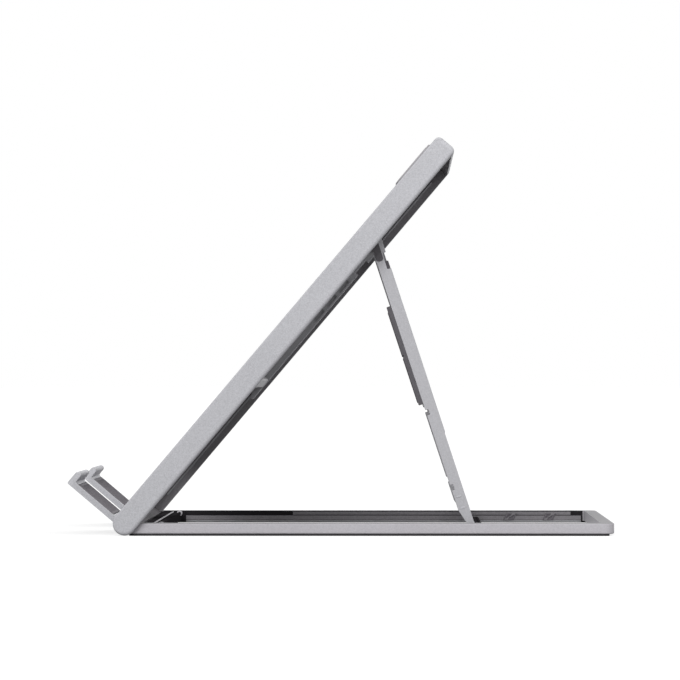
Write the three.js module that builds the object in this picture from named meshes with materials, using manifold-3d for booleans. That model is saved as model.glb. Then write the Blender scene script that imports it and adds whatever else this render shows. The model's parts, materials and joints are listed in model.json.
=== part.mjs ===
// A laptop stand that folds flat: an open base frame, a platform hinged to its front end, a long and
// a short pair of prop legs nested under the platform, and two stoppers that hold the laptop.
// Millimetres, +X towards the back of the stand, +Y to the left of someone sitting in front of it, +Z up.
import * as THREE from 'three';
import { mergeVertices } from 'three/addons/utils/BufferGeometryUtils.js';
import Module from 'manifold-3d';

const wasm = await Module();
wasm.setup();

// Clearances
const seam = 0.3;
const sidePlay = 0.4;
const legPlay = 0.6;
const hingePlay = 0.9;
const foldGap = 0.5;
const stopGap = 0.8;
const overrun = 2;

// Platform, drawn lying level, with the hinge axis at its origin
const platformWidth = 250;
const platformReach = 265;
const platformThickness = 12.5;
const hingeHeight = 6.5;
const sideArmThickness = 3.5;
const sideArmBevel = 0.6;
const sideArmLowerRadius = 2;
const rearCornerRadius = 3;
const rearRailDepth = 4;
const frontBarDepth = 4.5;
const panelThickness = 1.5;
const ledgeWidth = 3;
const ledgeThickness = 2;
const ledgeStart = 12;
const stiffenerEndGap = 6;
const stiffenerWidth = 14;
const stiffenerThickness = 2;
const stiffenerShares = [0.342, 0.5865, 0.831];

// Pads on the platform's top
const padLength = 27.5;
const padWidth = 56;
const padFromRear = 6.5;
const padFromSide = 9;
const padCornerRadius = 5;
const padSunk = 0.7;
const padProud = 0.8;

// Base frame
const baseReach = 260;
const baseThickness = 5.6;
const baseRailWidth = 6.5;
const baseRearRailDepth = 7.2;
const baseFrontRailStart = 9;
const baseFrontRailDepth = 10;
const baseCornerRadius = 5;
const baseWindowRadius = 3;
const baseBevel = 0.5;
const footThickness = 1;
const footWidth = 5.5;
const footEndInset = 2.5;
const footFrontInset = 2;

// Raised catches on the inner faces of the base's side rails
const catchesFromRear = [51.4, 28.7];
const catchLength = 8;
const catchHeight = 4;
const catchSlant = 2;
const catchProud = 1;

// Main hinge
const hingeEyeRadius = 4.2;
const hingePinRadius = 1.6;
const hingePinBite = 2.5;
const hingePinDepth = 5;
const hingeWasherThickness = 0.6;
const hingeWasherRadius = 3.8;

// Legs, drawn from the pivot along +X, with +Z on the side that faces down when the leg is folded
const pivotFromRear = 62.3;
const legThickness = 6.5;
const legNoseRadius = 1.1;
const legBevel = 0.5;
const axleRadius = 1.5;
const recessDepth = 2;
const recessLength = 9;
const longLeg = {
  name: 'long_leg',
  length: 169.2,
  armWidth: 6.5,
  thinFrom: 0,
  bevelLength: 15.6,
  rearStep: 0.4,
  rearStepFromTip: 57.5,
  notchesFromTip: [71.8, 29.6],
  blockFrom: 38.8,
  blockLength: 55.2,
  crossbarFromTip: 19.4,
  pocketFrom: 26,
  pocketCount: 7,
};
const shortLeg = {
  name: 'short_leg',
  length: 114,
  armWidth: 6.4,
  thinFrom: 66.8,
  thinThickness: 3.8,
  bevelLength: 4.5,
  rearStep: 0,
  rearStepFromTip: 24,
  notchesFromTip: [],
  blockFrom: 39.8,
  blockLength: 26.5,
  crossbarFromTip: 15,
  pocketFrom: 26,
  pocketCount: 3,
};
const notchWidth = 3;
const notchDepth = 1.6;
const blockThickness = 2.2;
const blockBevel = 0.4;
const blockGrooveWidth = 0.8;
const blockGrooveDepth = 0.8;
const crossbarWidth = 6;
const crossbarThickness = 3;
const pocketLength = 8;
const pocketPitch = 11;
const pocketDepth = 1.4;
const pocketEdge = 1.2;

// Row in the base that the long leg stands in, measured from the hinge axis to the middle of the leg's nose
const frontRow = 186.5;
const stopBarDepth = 3.4;
const stopBarThickness = 2.9;
const stopBarLift = 0.5;

// Leg brackets under the panel
const outerLugThickness = 2.5;
const innerLugThickness = 3.6;
const lugRadius = 3.6;
const bracketLength = 14;
const bracketThickness = 1.55;
const bracketTail = 10;
const screwRadius = 1.5;
const screwHeadRadius = 2.6;
const screwHeadHeight = 1.2;
const screwLength = 1.8;
const screwInset = 5;

// Stoppers, drawn standing square to the platform
const stopperWidth = 72;
const stopperInset = 23.75;
const stopperFace = -4.65;
const stopperPlate = 2.95;
const stopperClear = 28.75;
const stopperLipThickness = 3.3;
const stopperLipReach = 8.4;
const stopperOuterRadius = 0.8;
const stopperInnerRadius = 1;
const stopperEyeRadius = 2.4;
const stopperPinX = -0.6;
const stopperPinRadius = 1;
const stopperPinBite = 3.2;
const stopperSideRadius = 3;
const gripPadInset = 4;
const gripPadLift = 4;
const gripPadRadius = 3;
const gripPadSunk = 1.1;
const gripPadProud = 0.4;

// Smoothness of round stretches
const arcSteps = 4;
const roundSides = 16;
const bevelSteps = 1;
const weld = 0.001;

// Looks
const shellLook = { color: 0xb8b7ba, roughness: 0.45, metalness: 0.55 };
const frameLook = { color: 0xb0afb3, roughness: 0.5, metalness: 0.5 };
const legLook = { color: 0xa9a8ab, roughness: 0.5, metalness: 0.35 };
const darkLook = { color: 0x4a494d, roughness: 0.7, metalness: 0.1 };
const rubberLook = { color: 0x39393b, roughness: 0.9, metalness: 0 };
const steelLook = { color: 0x8d8e92, roughness: 0.3, metalness: 0.9 };

// Levels and lanes that follow from the sizes above
const top = platformThickness / 2;
const panelUnder = top - panelThickness;
const underPanel = panelUnder - seam;
const sideArmInner = platformWidth / 2 - sideArmThickness;
const washerOuter = sideArmInner - seam;
const railOuter = washerOuter - hingeWasherThickness - seam;
const railInner = railOuter - baseRailWidth;
const frontBarHalf = railInner - hingePlay;
const outerLug = railInner - catchProud - sidePlay;
const longLane = outerLug - outerLugThickness - sidePlay;
const shortLane = longLane - longLeg.armWidth - legPlay;
const innerLug = shortLane - shortLeg.armWidth - sidePlay;
const baseBottom = footThickness + seam;
const baseTop = baseBottom + baseThickness;
const halfLeg = legThickness / 2;
const pivotReach = platformReach - pivotFromRear;
const pivotDrop = halfLeg + seam + blockThickness + foldGap - panelUnder;
const stiffenerHalfLength = shortLane - shortLeg.armWidth - stiffenerEndGap;
const padOuter = platformWidth / 2 - padFromSide;
const padInner = padOuter - padWidth;
const stopBarFront = frontRow + legNoseRadius + seam;
const stopBarRear = stopBarFront + stopBarDepth;
const stopperOuter = platformWidth / 2 - stopperInset;
const stopperInner = stopperOuter - stopperWidth;
const stopperPinZ = top + stopperFace - stopperPinX;
const stopperTip = top + stopperClear + stopperLipThickness;
const panelFront = frontBarDepth + seam;
const panelRear = platformReach - rearRailDepth - seam;

// Closed solids and the boolean cuts and joins between them
function solidOf(geometry) {
  const bare = geometry.clone();
  bare.deleteAttribute('normal');
  bare.deleteAttribute('uv');
  const merged = mergeVertices(bare);
  const { position } = merged.attributes;
  return new wasm.Manifold(new wasm.Mesh({
    numProp: 3,
    vertProperties: Float32Array.from(position.array),
    triVerts: Uint32Array.from(merged.index.array),
  }));
}

function geometryOf(solid) {
  const mesh = solid.getMesh();
  const geometry = new THREE.BufferGeometry();
  geometry.setAttribute('position', new THREE.BufferAttribute(mesh.vertProperties, 3));
  geometry.setIndex(new THREE.BufferAttribute(mesh.triVerts, 1));
  geometry.computeVertexNormals();
  return geometry;
}

function carve(geometry, cutters, added = []) {
  let solid = solidOf(geometry);
  for (const piece of added) solid = solid.add(solidOf(piece));
  for (const cutter of cutters) solid = solid.subtract(solidOf(cutter));
  return geometryOf(solid);
}

// The corners of an outline, each of them once
function cornersOf(path) {
  const points = path.getPoints(arcSteps);
  return points.filter((point, index) => {
    const last = points[(index + points.length - 1) % points.length];
    return point.distanceTo(last) > weld;
  });
}

// An outline pushed along its own normal, with its edges eased by a bevel
function push(outline, depth, bevel) {
  const shape = new THREE.Shape(cornersOf(outline));
  shape.holes = outline.holes.map((hole) => new THREE.Path(cornersOf(hole)));
  return new THREE.ExtrudeGeometry(shape, {
    depth: depth - 2 * bevel,
    bevelEnabled: bevel > 0,
    bevelThickness: bevel,
    bevelSize: bevel,
    bevelOffset: -bevel,
    bevelSegments: bevelSteps,
  });
}

// An outline drawn in X and Z, standing between two places in Y
function across(outline, [from, to], bevel = 0) {
  const geometry = push(outline, to - from, bevel);
  geometry.rotateX(Math.PI / 2);
  geometry.translate(0, to - bevel, 0);
  return geometry;
}

// An outline drawn in X and Y, lying between two heights
function upright(outline, [from, to], bevel = 0) {
  const geometry = push(outline, to - from, bevel);
  geometry.translate(0, 0, from + bevel);
  return geometry;
}

// An outline drawn in Y and Z, running between two places in X
function along(outline, [from, to], bevel = 0) {
  const geometry = push(outline, to - from, bevel);
  const turn = new THREE.Matrix4().makeBasis(
    new THREE.Vector3(0, 1, 0), new THREE.Vector3(0, 0, 1), new THREE.Vector3(1, 0, 0));
  geometry.applyMatrix4(turn);
  geometry.translate(from + bevel, 0, 0);
  return geometry;
}

function block([x0, x1], [y0, y1], [z0, z1]) {
  const geometry = new THREE.BoxGeometry(x1 - x0, y1 - y0, z1 - z0);
  geometry.translate((x0 + x1) / 2, (y0 + y1) / 2, (z0 + z1) / 2);
  return geometry;
}

// A round rod along Y
function rod(radius, [from, to], x = 0, z = 0) {
  const geometry = new THREE.CylinderGeometry(radius, radius, to - from, roundSides);
  geometry.translate(x, (from + to) / 2, z);
  return geometry;
}

function rectangle([x0, x1], [y0, y1], radius = 0) {
  const outline = new THREE.Shape();
  if (radius <= 0) {
    outline.moveTo(x0, y0).lineTo(x1, y0).lineTo(x1, y1).lineTo(x0, y1);
    return outline;
  }
  outline.moveTo(x0 + radius, y0);
  outline.absarc(x1 - radius, y0 + radius, radius, -Math.PI / 2, 0, false);
  outline.absarc(x1 - radius, y1 - radius, radius, 0, Math.PI / 2, false);
  outline.absarc(x0 + radius, y1 - radius, radius, Math.PI / 2, Math.PI, false);
  outline.absarc(x0 + radius, y0 + radius, radius, Math.PI, 3 * Math.PI / 2, false);
  return outline;
}

function disc(radius, x = 0, y = 0) {
  const outline = new THREE.Shape();
  outline.absarc(x, y, radius, 0, 2 * Math.PI, false);
  return outline;
}

// The stretch between two distances from the middle plane, on the left or the right
function span(side, inner, outer) {
  return side > 0 ? [inner, outer] : [-outer, -inner];
}

function piece(name, geometry, look, parent) {
  const mesh = new THREE.Mesh(geometry, new THREE.MeshStandardMaterial(look));
  mesh.name = name;
  parent.add(mesh);
}

const sides = [['left', 1], ['right', -1]];

// The angles of the stand at rest: hinge axis, leg pivot and leg nose make a triangle of known sides
function stance(leg, row) {
  const noseDrop = hingeHeight - legNoseRadius;
  const noseX = leg.length - legNoseRadius;
  const noseZ = halfLeg - leg.rearStep - legNoseRadius;
  const platformSide = Math.hypot(pivotReach, pivotDrop);
  const legSide = Math.hypot(noseX, noseZ);
  const baseSide = Math.hypot(row, noseDrop);
  const hingeAngle = Math.acos(
    (platformSide ** 2 + baseSide ** 2 - legSide ** 2) / (2 * platformSide * baseSide));
  const pivotAngle = hingeAngle - Math.asin(noseDrop / baseSide);
  const tilt = pivotAngle + Math.atan2(pivotDrop, pivotReach);
  const pivotX = platformSide * Math.cos(pivotAngle);
  const pivotZ = platformSide * Math.sin(pivotAngle);
  const legAngle = Math.atan2(-noseDrop - pivotZ, row - pivotX) - Math.atan2(noseZ, noseX);
  return { tilt, legTurn: tilt - legAngle };
}

const rest = stance(longLeg, frontRow);

const stand = new THREE.Group();
const base = new THREE.Group();
const platform = new THREE.Group();
platform.position.z = hingeHeight;
platform.rotation.y = -rest.tilt;
stand.add(base, platform);

// Base
function hingeHole(range) {
  return rod(hingePinRadius + seam, range, 0, hingeHeight);
}

function catchBlock(side, reach) {
  const low = (baseBottom + baseTop - catchHeight) / 2;
  const outline = new THREE.Shape();
  outline.moveTo(reach - catchLength / 2, low);
  outline.lineTo(reach + catchLength / 2 - catchSlant, low);
  outline.lineTo(reach + catchLength / 2, low + catchHeight);
  outline.lineTo(reach - catchLength / 2 + catchSlant, low + catchHeight);
  return across(outline, span(side, railInner - catchProud, railInner + catchProud));
}

function baseFrame() {
  const frontRailRear = baseFrontRailStart + baseFrontRailDepth;
  const corner = baseReach - baseCornerRadius;
  const outline = new THREE.Shape();
  outline.moveTo(0, -railInner);
  outline.lineTo(0, -railOuter);
  outline.absarc(corner, baseCornerRadius - railOuter, baseCornerRadius, -Math.PI / 2, 0, false);
  outline.absarc(corner, railOuter - baseCornerRadius, baseCornerRadius, 0, Math.PI / 2, false);
  outline.lineTo(0, railOuter);
  outline.lineTo(0, railInner);
  outline.lineTo(baseFrontRailStart, railInner);
  outline.lineTo(baseFrontRailStart, -railInner);
  const windowEnd = baseReach - baseRearRailDepth;
  outline.holes.push(rectangle([frontRailRear, windowEnd], [-railInner, railInner], baseWindowRadius));
  const added = [];
  const cutters = [];
  for (const [, side] of sides) {
    added.push(across(disc(hingeEyeRadius, 0, hingeHeight), span(side, railInner, railOuter)));
    cutters.push(hingeHole(span(side, railInner - overrun, railOuter + overrun)));
    for (const inset of catchesFromRear) added.push(catchBlock(side, baseReach - inset));
  }
  return carve(upright(outline, [baseBottom, baseTop], baseBevel), cutters, added);
}

piece('base_frame', baseFrame(), frameLook, base);
piece('base_stop_bar',
  upright(
    rectangle([stopBarFront, stopBarRear], [seam - railInner, railInner - seam]),
    [stopBarLift, stopBarLift + stopBarThickness], baseBevel),
  frameLook, base);

function footStrip(side) {
  const middle = (railInner + railOuter) / 2;
  const range = span(side, middle - footWidth / 2, middle + footWidth / 2);
  return upright(rectangle([footFrontInset, baseReach - footEndInset], range, footWidth / 2),
    [0, footThickness]);
}

function hingeWasher(side) {
  const outline = disc(hingeWasherRadius, 0, hingeHeight);
  outline.holes.push(disc(hingePinRadius + seam, 0, hingeHeight));
  return across(outline, span(side, railOuter + seam, washerOuter));
}

for (const [hand, side] of sides) {
  piece(`base_foot_${hand}`, footStrip(side), rubberLook, base);
  piece(`hinge_washer_${hand}`, hingeWasher(side), steelLook, base);
}

// Platform
function sideArmOutline() {
  const outline = new THREE.Shape();
  const corner = platformReach - rearCornerRadius;
  outline.moveTo(0, -top);
  outline.absarc(corner, rearCornerRadius - top, rearCornerRadius, -Math.PI / 2, 0, false);
  outline.absarc(corner, top - rearCornerRadius, rearCornerRadius, 0, Math.PI / 2, false);
  outline.absarc(0, 0, top, Math.PI / 2, Math.PI, false);
  outline.absarc(0, 0, top, Math.PI, 3 * Math.PI / 2, false);
  return outline;
}

function sideArmSection(side) {
  const outer = platformWidth / 2;
  const outline = new THREE.Shape();
  outline.moveTo(sideArmInner * side, -top);
  outline.lineTo((outer - sideArmLowerRadius) * side, -top);
  outline.absarc((outer - sideArmLowerRadius) * side, sideArmLowerRadius - top, sideArmLowerRadius,
    -Math.PI / 2, side > 0 ? 0 : -Math.PI, side < 0);
  outline.lineTo(outer * side, top);
  outline.lineTo(sideArmInner * side, top);
  return outline;
}

function sideArm(side) {
  const body = across(sideArmOutline(), span(side, sideArmInner, platformWidth / 2), sideArmBevel);
  const section = along(sideArmSection(side), [-top - overrun, platformReach + overrun]);
  const rounded = geometryOf(solidOf(body).intersect(solidOf(section)));
  const ledge = block([ledgeStart, panelRear],
    span(side, sideArmInner - ledgeWidth, sideArmInner + sideArmThickness / 2),
    [underPanel - ledgeThickness, underPanel]);
  const hole = rod(hingePinRadius + seam,
    span(side, sideArmInner - overrun, sideArmInner + hingePinBite + seam));
  return carve(rounded, [hole], [ledge]);
}

function rearRail() {
  const outline = new THREE.Shape();
  const corner = platformReach - rearCornerRadius;
  outline.moveTo(platformReach - rearRailDepth, top);
  outline.lineTo(platformReach - rearRailDepth, -top);
  outline.absarc(corner, rearCornerRadius - top, rearCornerRadius, -Math.PI / 2, 0, false);
  outline.absarc(corner, top - rearCornerRadius, rearCornerRadius, 0, Math.PI / 2, false);
  return across(outline, [seam - sideArmInner, sideArmInner - seam]);
}

function frontBar() {
  const outline = new THREE.Shape();
  outline.moveTo(0, -top);
  outline.lineTo(frontBarDepth, -top);
  outline.lineTo(frontBarDepth, top);
  outline.lineTo(0, top);
  outline.absarc(0, 0, top, Math.PI / 2, Math.PI, false);
  outline.absarc(0, 0, top, Math.PI, 3 * Math.PI / 2, false);
  const cutters = [];
  for (const [, side] of sides) {
    const pocket = span(side, stopperInner - sidePlay, stopperOuter + sidePlay);
    const floor = stopperPinZ - stopperEyeRadius - foldGap;
    cutters.push(block([-top - overrun, frontBarDepth + overrun], pocket, [floor, top + overrun]));
    const pin = span(side, stopperInner - stopperPinBite - seam, stopperOuter + stopperPinBite + seam);
    cutters.push(rod(stopperPinRadius + seam, pin, stopperPinX, stopperPinZ));
    const hinge = span(side, frontBarHalf - hingePinDepth - seam, frontBarHalf + overrun);
    cutters.push(rod(hingePinRadius + seam, hinge));
  }
  return carve(across(outline, [-frontBarHalf, frontBarHalf]), cutters);
}

const padRange = [
  platformReach - padFromRear - padLength,
  platformReach - padFromRear,
];

function padOutline(side, gap) {
  const [from, to] = padRange;
  return rectangle([from - gap, to + gap], span(side, padInner - gap, padOuter + gap), padCornerRadius);
}

function panel() {
  const half = sideArmInner - seam;
  const body = upright(rectangle([panelFront, panelRear], [-half, half]), [panelUnder, top]);
  const cutters = [];
  const windowEnd = stopperPinX + stopperTip - stopperPinZ + foldGap;
  for (const [, side] of sides) {
    const window = span(side, stopperInner - sidePlay, stopperOuter + sidePlay);
    cutters.push(block([panelFront - overrun, windowEnd], window, [panelUnder - overrun, top + overrun]));
    cutters.push(upright(padOutline(side, seam), [top - padSunk, top + overrun]));
  }
  return carve(body, cutters);
}

function topPad(side) {
  return upright(padOutline(side, 0), [top - padSunk + seam, top + padProud], padProud / 2);
}

function screw(x, y, seatThickness) {
  const headTop = underPanel - seatThickness - seam;
  const head = new THREE.CylinderGeometry(screwHeadRadius, screwHeadRadius, screwHeadHeight, roundSides);
  head.rotateX(Math.PI / 2);
  head.translate(x, y, headTop - screwHeadHeight / 2);
  const shank = new THREE.CylinderGeometry(screwRadius, screwRadius, screwLength, roundSides);
  shank.rotateX(Math.PI / 2);
  shank.translate(x, y, headTop + screwLength / 2 - seam);
  return carve(head, [], [shank]);
}

// A hole for a screw's shank, up through a strip that lies under the panel
function screwHole(x, y) {
  const hole = new THREE.CylinderGeometry(
    screwRadius + seam, screwRadius + seam, platformThickness, roundSides);
  hole.rotateX(Math.PI / 2);
  hole.translate(x, y, underPanel);
  return hole;
}

function stiffener(x) {
  const strip = upright(
    rectangle([x - stiffenerWidth / 2, x + stiffenerWidth / 2],
      [-stiffenerHalfLength, stiffenerHalfLength], screwInset / 2),
    [underPanel - stiffenerThickness, underPanel]);
  const end = stiffenerHalfLength - screwInset;
  return carve(strip, [screwHole(x, end), screwHole(x, -end)]);
}

piece('platform_panel', panel(), shellLook, platform);
piece('platform_rear_rail', rearRail(), shellLook, platform);
piece('platform_front_bar', frontBar(), shellLook, platform);
const lastStiffener = (pivotReach + bracketLength / 2 + panelRear) / 2;
const stiffenerPlaces = [...stiffenerShares.map((share) => pivotReach * share), lastStiffener];
stiffenerPlaces.forEach((x, index) => {
  piece(`panel_stiffener_${index + 1}`, stiffener(x), frameLook, platform);
  for (const [hand, side] of sides) {
    const y = (stiffenerHalfLength - screwInset) * side;
    piece(`stiffener_screw_${index + 1}_${hand}`, screw(x, y, stiffenerThickness), steelLook, platform);
  }
});

// Leg brackets and axles
function lug(side, inner, outer) {
  const outline = new THREE.Shape();
  outline.moveTo(pivotReach + lugRadius, underPanel - bracketThickness / 2);
  outline.lineTo(pivotReach - lugRadius, underPanel - bracketThickness / 2);
  outline.absarc(pivotReach, -pivotDrop, lugRadius, Math.PI, 3 * Math.PI / 2, false);
  outline.absarc(pivotReach, -pivotDrop, lugRadius, 3 * Math.PI / 2, 2 * Math.PI, false);
  return across(outline, span(side, inner, outer));
}

const bracketScrewY = innerLug - innerLugThickness - bracketTail / 2;
const bracketScrewX = bracketLength / 2 - screwHeadRadius - seam;

function legBracket(side) {
  const plate = upright(
    rectangle([pivotReach - bracketLength / 2, pivotReach + bracketLength / 2],
      span(side, innerLug - innerLugThickness - bracketTail, outerLug)),
    [underPanel - bracketThickness, underPanel]);
  const lugs = [
    lug(side, innerLug - innerLugThickness, innerLug),
    lug(side, outerLug - outerLugThickness, outerLug),
  ];
  const cutters = [
    rod(axleRadius + seam, span(side, innerLug - innerLugThickness - overrun, outerLug + overrun),
      pivotReach, -pivotDrop),
  ];
  for (const way of [-1, 1]) {
    cutters.push(screwHole(pivotReach + bracketScrewX * way, bracketScrewY * side));
  }
  return carve(plate, cutters, lugs);
}

function legAxle(side) {
  return rod(axleRadius, span(side, innerLug - innerLugThickness + seam, outerLug - seam),
    pivotReach, -pivotDrop);
}

for (const [hand, side] of sides) {
  piece(`side_arm_${hand}`, sideArm(side), shellLook, platform);
  piece(`hinge_pin_${hand}`,
    rod(hingePinRadius, span(side, frontBarHalf - hingePinDepth, sideArmInner + hingePinBite)),
    steelLook, platform);
  piece(`top_pad_${hand}`, topPad(side), rubberLook, platform);
  piece(`leg_bracket_${hand}`, legBracket(side), frameLook, platform);
  piece(`leg_axle_${hand}`, legAxle(side), steelLook, platform);
  piece(`stopper_pin_${hand}`,
    rod(stopperPinRadius, span(side, stopperInner - stopperPinBite, stopperOuter + stopperPinBite),
      stopperPinX, stopperPinZ),
    steelLook, platform);
  for (const [end, way] of [['front', -1], ['rear', 1]]) {
    piece(`bracket_screw_${end}_${hand}`,
      screw(pivotReach + bracketScrewX * way, bracketScrewY * side, bracketThickness),
      steelLook, platform);
  }
}

// Legs
function tipFront(leg) {
  return leg.thinFrom > 0 ? halfLeg - leg.rearStep - leg.thinThickness : -halfLeg;
}

function legOutline(leg) {
  const rear = halfLeg - leg.rearStep;
  const front = tipFront(leg);
  const rearStepFrom = leg.length - leg.rearStepFromTip;
  const noseX = leg.length - legNoseRadius;
  const noseZ = rear - legNoseRadius;
  const toe = leg.length - leg.bevelLength;
  const toNose = Math.atan2(noseZ - front, noseX - toe);
  const toeSide = Math.hypot(noseZ - front, noseX - toe);
  const toeNormal = toNose - Math.acos(-legNoseRadius / toeSide);
  const outline = new THREE.Shape();
  outline.moveTo(0, halfLeg);
  outline.lineTo(rearStepFrom, halfLeg);
  outline.lineTo(rearStepFrom + leg.rearStep, rear);
  outline.absarc(noseX, noseZ, legNoseRadius, Math.PI / 2, toeNormal, true);
  outline.lineTo(toe, front);
  for (const inset of [...leg.notchesFromTip].reverse()) {
    const from = leg.length - inset;
    outline.lineTo(from + notchWidth, front);
    outline.lineTo(from + notchWidth, front + notchDepth);
    outline.lineTo(from, front + notchDepth);
    outline.lineTo(from, front);
  }
  if (leg.thinFrom > 0) {
    outline.lineTo(leg.thinFrom + legThickness / 2, front);
    outline.lineTo(leg.thinFrom, -halfLeg);
  }
  outline.absarc(0, 0, halfLeg, -Math.PI / 2, -Math.PI, true);
  outline.absarc(0, 0, halfLeg, Math.PI, Math.PI / 2, true);
  return outline;
}

// One arm, with a recess that clears the stop bar when the leg is folded
function legArm(leg, side, lane) {
  const inner = lane - leg.armWidth;
  const through = span(side, inner - overrun, lane + overrun);
  const recessFrom = pivotReach - stopBarRear - stopGap;
  const recess = [recessFrom, recessFrom + recessLength];
  const cutters = [
    rod(axleRadius + seam, through),
    block(recess, through, [halfLeg - recessDepth, halfLeg + overrun]),
  ];
  for (let count = 0; count < leg.pocketCount; count += 1) {
    const from = leg.pocketFrom + pocketPitch * count;
    const depth = span(side, inner - overrun, inner + pocketDepth);
    const low = from + pocketLength > leg.thinFrom ? tipFront(leg) : -halfLeg;
    cutters.push(block([from, from + pocketLength], depth,
      [low + pocketEdge, halfLeg - leg.rearStep - pocketEdge]));
  }
  return carve(across(legOutline(leg), span(side, inner, lane), legBevel), cutters);
}

function legBlock(leg, side, lane) {
  const face = -halfLeg - seam;
  const to = leg.blockFrom + leg.blockLength;
  const outline = rectangle([leg.blockFrom, to], [face - blockThickness, face]);
  const middle = (leg.blockFrom + to) / 2;
  const range = span(side, lane - leg.armWidth, lane);
  const groove = block([middle - blockGrooveWidth / 2, middle + blockGrooveWidth / 2],
    span(side, lane - leg.armWidth - overrun, lane + overrun),
    [face - blockThickness - overrun, face - blockThickness + blockGrooveDepth]);
  return carve(across(outline, range, blockBevel), [groove]);
}

function legCrossbar(leg, lane) {
  const rear = halfLeg - leg.rearStep - seam;
  const end = lane - leg.armWidth - seam;
  const from = leg.length - leg.crossbarFromTip;
  const outline = rectangle([from, from + crossbarWidth],
    [rear - crossbarThickness, rear], crossbarThickness / 3);
  return across(outline, [-end, end]);
}

function addLeg(leg, lane, turn) {
  const group = new THREE.Group();
  group.position.set(pivotReach, 0, -pivotDrop);
  group.rotation.y = turn;
  platform.add(group);
  piece(`${leg.name}_crossbar`, legCrossbar(leg, lane), legLook, group);
  for (const [hand, side] of sides) {
    piece(`${leg.name}_arm_${hand}`, legArm(leg, side, lane), legLook, group);
    piece(`${leg.name}_block_${hand}`, legBlock(leg, side, lane), darkLook, group);
  }
}

addLeg(longLeg, longLane, rest.legTurn);
addLeg(shortLeg, shortLane, Math.PI);

// Stoppers
function stopperOutline() {
  const outer = stopperFace - stopperPinX;
  const inner = outer + stopperPlate;
  const tip = stopperTip - stopperPinZ;
  const lipUnder = tip - stopperLipThickness;
  const nub = stopperLipThickness / 2;
  const lipEnd = outer + stopperLipReach - nub;
  const outline = new THREE.Shape();
  outline.moveTo(outer, -stopperEyeRadius);
  outline.lineTo(inner, -stopperEyeRadius);
  outline.lineTo(inner, lipUnder - stopperInnerRadius);
  outline.absarc(inner + stopperInnerRadius, lipUnder - stopperInnerRadius, stopperInnerRadius,
    Math.PI, Math.PI / 2, true);
  outline.absarc(lipEnd, lipUnder + nub, nub, -Math.PI / 2, Math.PI / 2, false);
  outline.absarc(outer + stopperOuterRadius, tip - stopperOuterRadius, stopperOuterRadius,
    Math.PI / 2, Math.PI, false);
  return outline;
}

function gripPadOutline(side, gap) {
  const low = stopperEyeRadius + gripPadLift;
  const high = stopperTip - stopperPinZ - stopperLipThickness - gripPadLift / 2;
  return rectangle(
    span(side, stopperInner + gripPadInset - gap, stopperOuter - gripPadInset + gap),
    [low - gap, high + gap], gripPadRadius);
}

function stopper(side) {
  const inner = stopperFace - stopperPinX + stopperPlate;
  const tip = stopperTip - stopperPinZ;
  const body = across(stopperOutline(), span(side, stopperInner, stopperOuter));
  const eye = rod(stopperEyeRadius, span(side, stopperInner, stopperOuter));
  const front = along(
    rectangle(span(side, stopperInner, stopperOuter), [-tip, tip], stopperSideRadius),
    [-tip, tip]);
  const cutters = [
    rod(stopperPinRadius + seam, span(side, stopperInner - overrun, stopperOuter + overrun)),
    along(gripPadOutline(side, seam), [inner - gripPadSunk, inner + gripPadSunk]),
  ];
  const whole = carve(body, [], [eye]);
  return carve(geometryOf(solidOf(whole).intersect(solidOf(front))), cutters);
}

function gripPad(side) {
  const inner = stopperFace - stopperPinX + stopperPlate;
  return along(gripPadOutline(side, 0), [inner - gripPadSunk + seam, inner + gripPadProud],
    gripPadProud / 2);
}

for (const [hand, side] of sides) {
  const group = new THREE.Group();
  group.position.set(stopperPinX, 0, stopperPinZ);
  platform.add(group);
  piece(`stopper_${hand}`, stopper(side), shellLook, group);
  piece(`stopper_pad_${hand}`, gripPad(side), rubberLook, group);
}

// The origin lies on the floor, under the middle of the whole stand
stand.updateMatrixWorld(true);
const reach = new THREE.Box3().setFromObject(stand, true);
stand.position.x = -(reach.min.x + reach.max.x) / 2;
stand.updateMatrixWorld(true);

export default stand;
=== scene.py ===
# A laptop stand that folds flat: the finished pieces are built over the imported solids.
# Pieces are drawn in millimetres beside their own hinge, then set in place in metres.
import json
import math

import bmesh
import bpy
from mathutils import Matrix, Vector


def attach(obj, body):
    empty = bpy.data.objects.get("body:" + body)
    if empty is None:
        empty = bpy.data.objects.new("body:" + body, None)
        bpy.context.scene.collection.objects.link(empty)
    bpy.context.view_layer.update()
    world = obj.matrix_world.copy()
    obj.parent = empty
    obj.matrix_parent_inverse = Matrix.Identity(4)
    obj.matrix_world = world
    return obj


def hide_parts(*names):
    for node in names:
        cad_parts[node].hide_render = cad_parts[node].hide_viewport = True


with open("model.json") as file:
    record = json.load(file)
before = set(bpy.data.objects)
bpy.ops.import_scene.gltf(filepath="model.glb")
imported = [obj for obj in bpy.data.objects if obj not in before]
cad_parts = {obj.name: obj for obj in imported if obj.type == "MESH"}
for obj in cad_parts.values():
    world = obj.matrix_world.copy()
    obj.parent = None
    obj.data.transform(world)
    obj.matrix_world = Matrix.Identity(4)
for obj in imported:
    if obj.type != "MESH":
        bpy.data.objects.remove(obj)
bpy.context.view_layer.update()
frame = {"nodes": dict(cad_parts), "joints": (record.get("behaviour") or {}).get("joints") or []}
joints = {joint["name"]: joint for joint in frame["joints"]}
sides = [("left", 1), ("right", -1)]
millimetre = 0.001
overrun = 1.0  # how far a cutter goes past the face that it opens
farOverrun = 2.0  # the same for the larger pieces
print("frame loaded:", len(frame["nodes"]), "solids")


def addObject(name, data):
    thing = bpy.data.objects.new(name, data)
    bpy.context.scene.collection.objects.link(thing)
    return thing


# A camera or a lamp looks down its own -Z
def aimAt(thing, place, target):
    away = Vector(place) - Vector(target)
    thing.matrix_world = Matrix.Translation(place) @ away.to_track_quat("Z", "Y").to_matrix().to_4x4()


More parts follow.
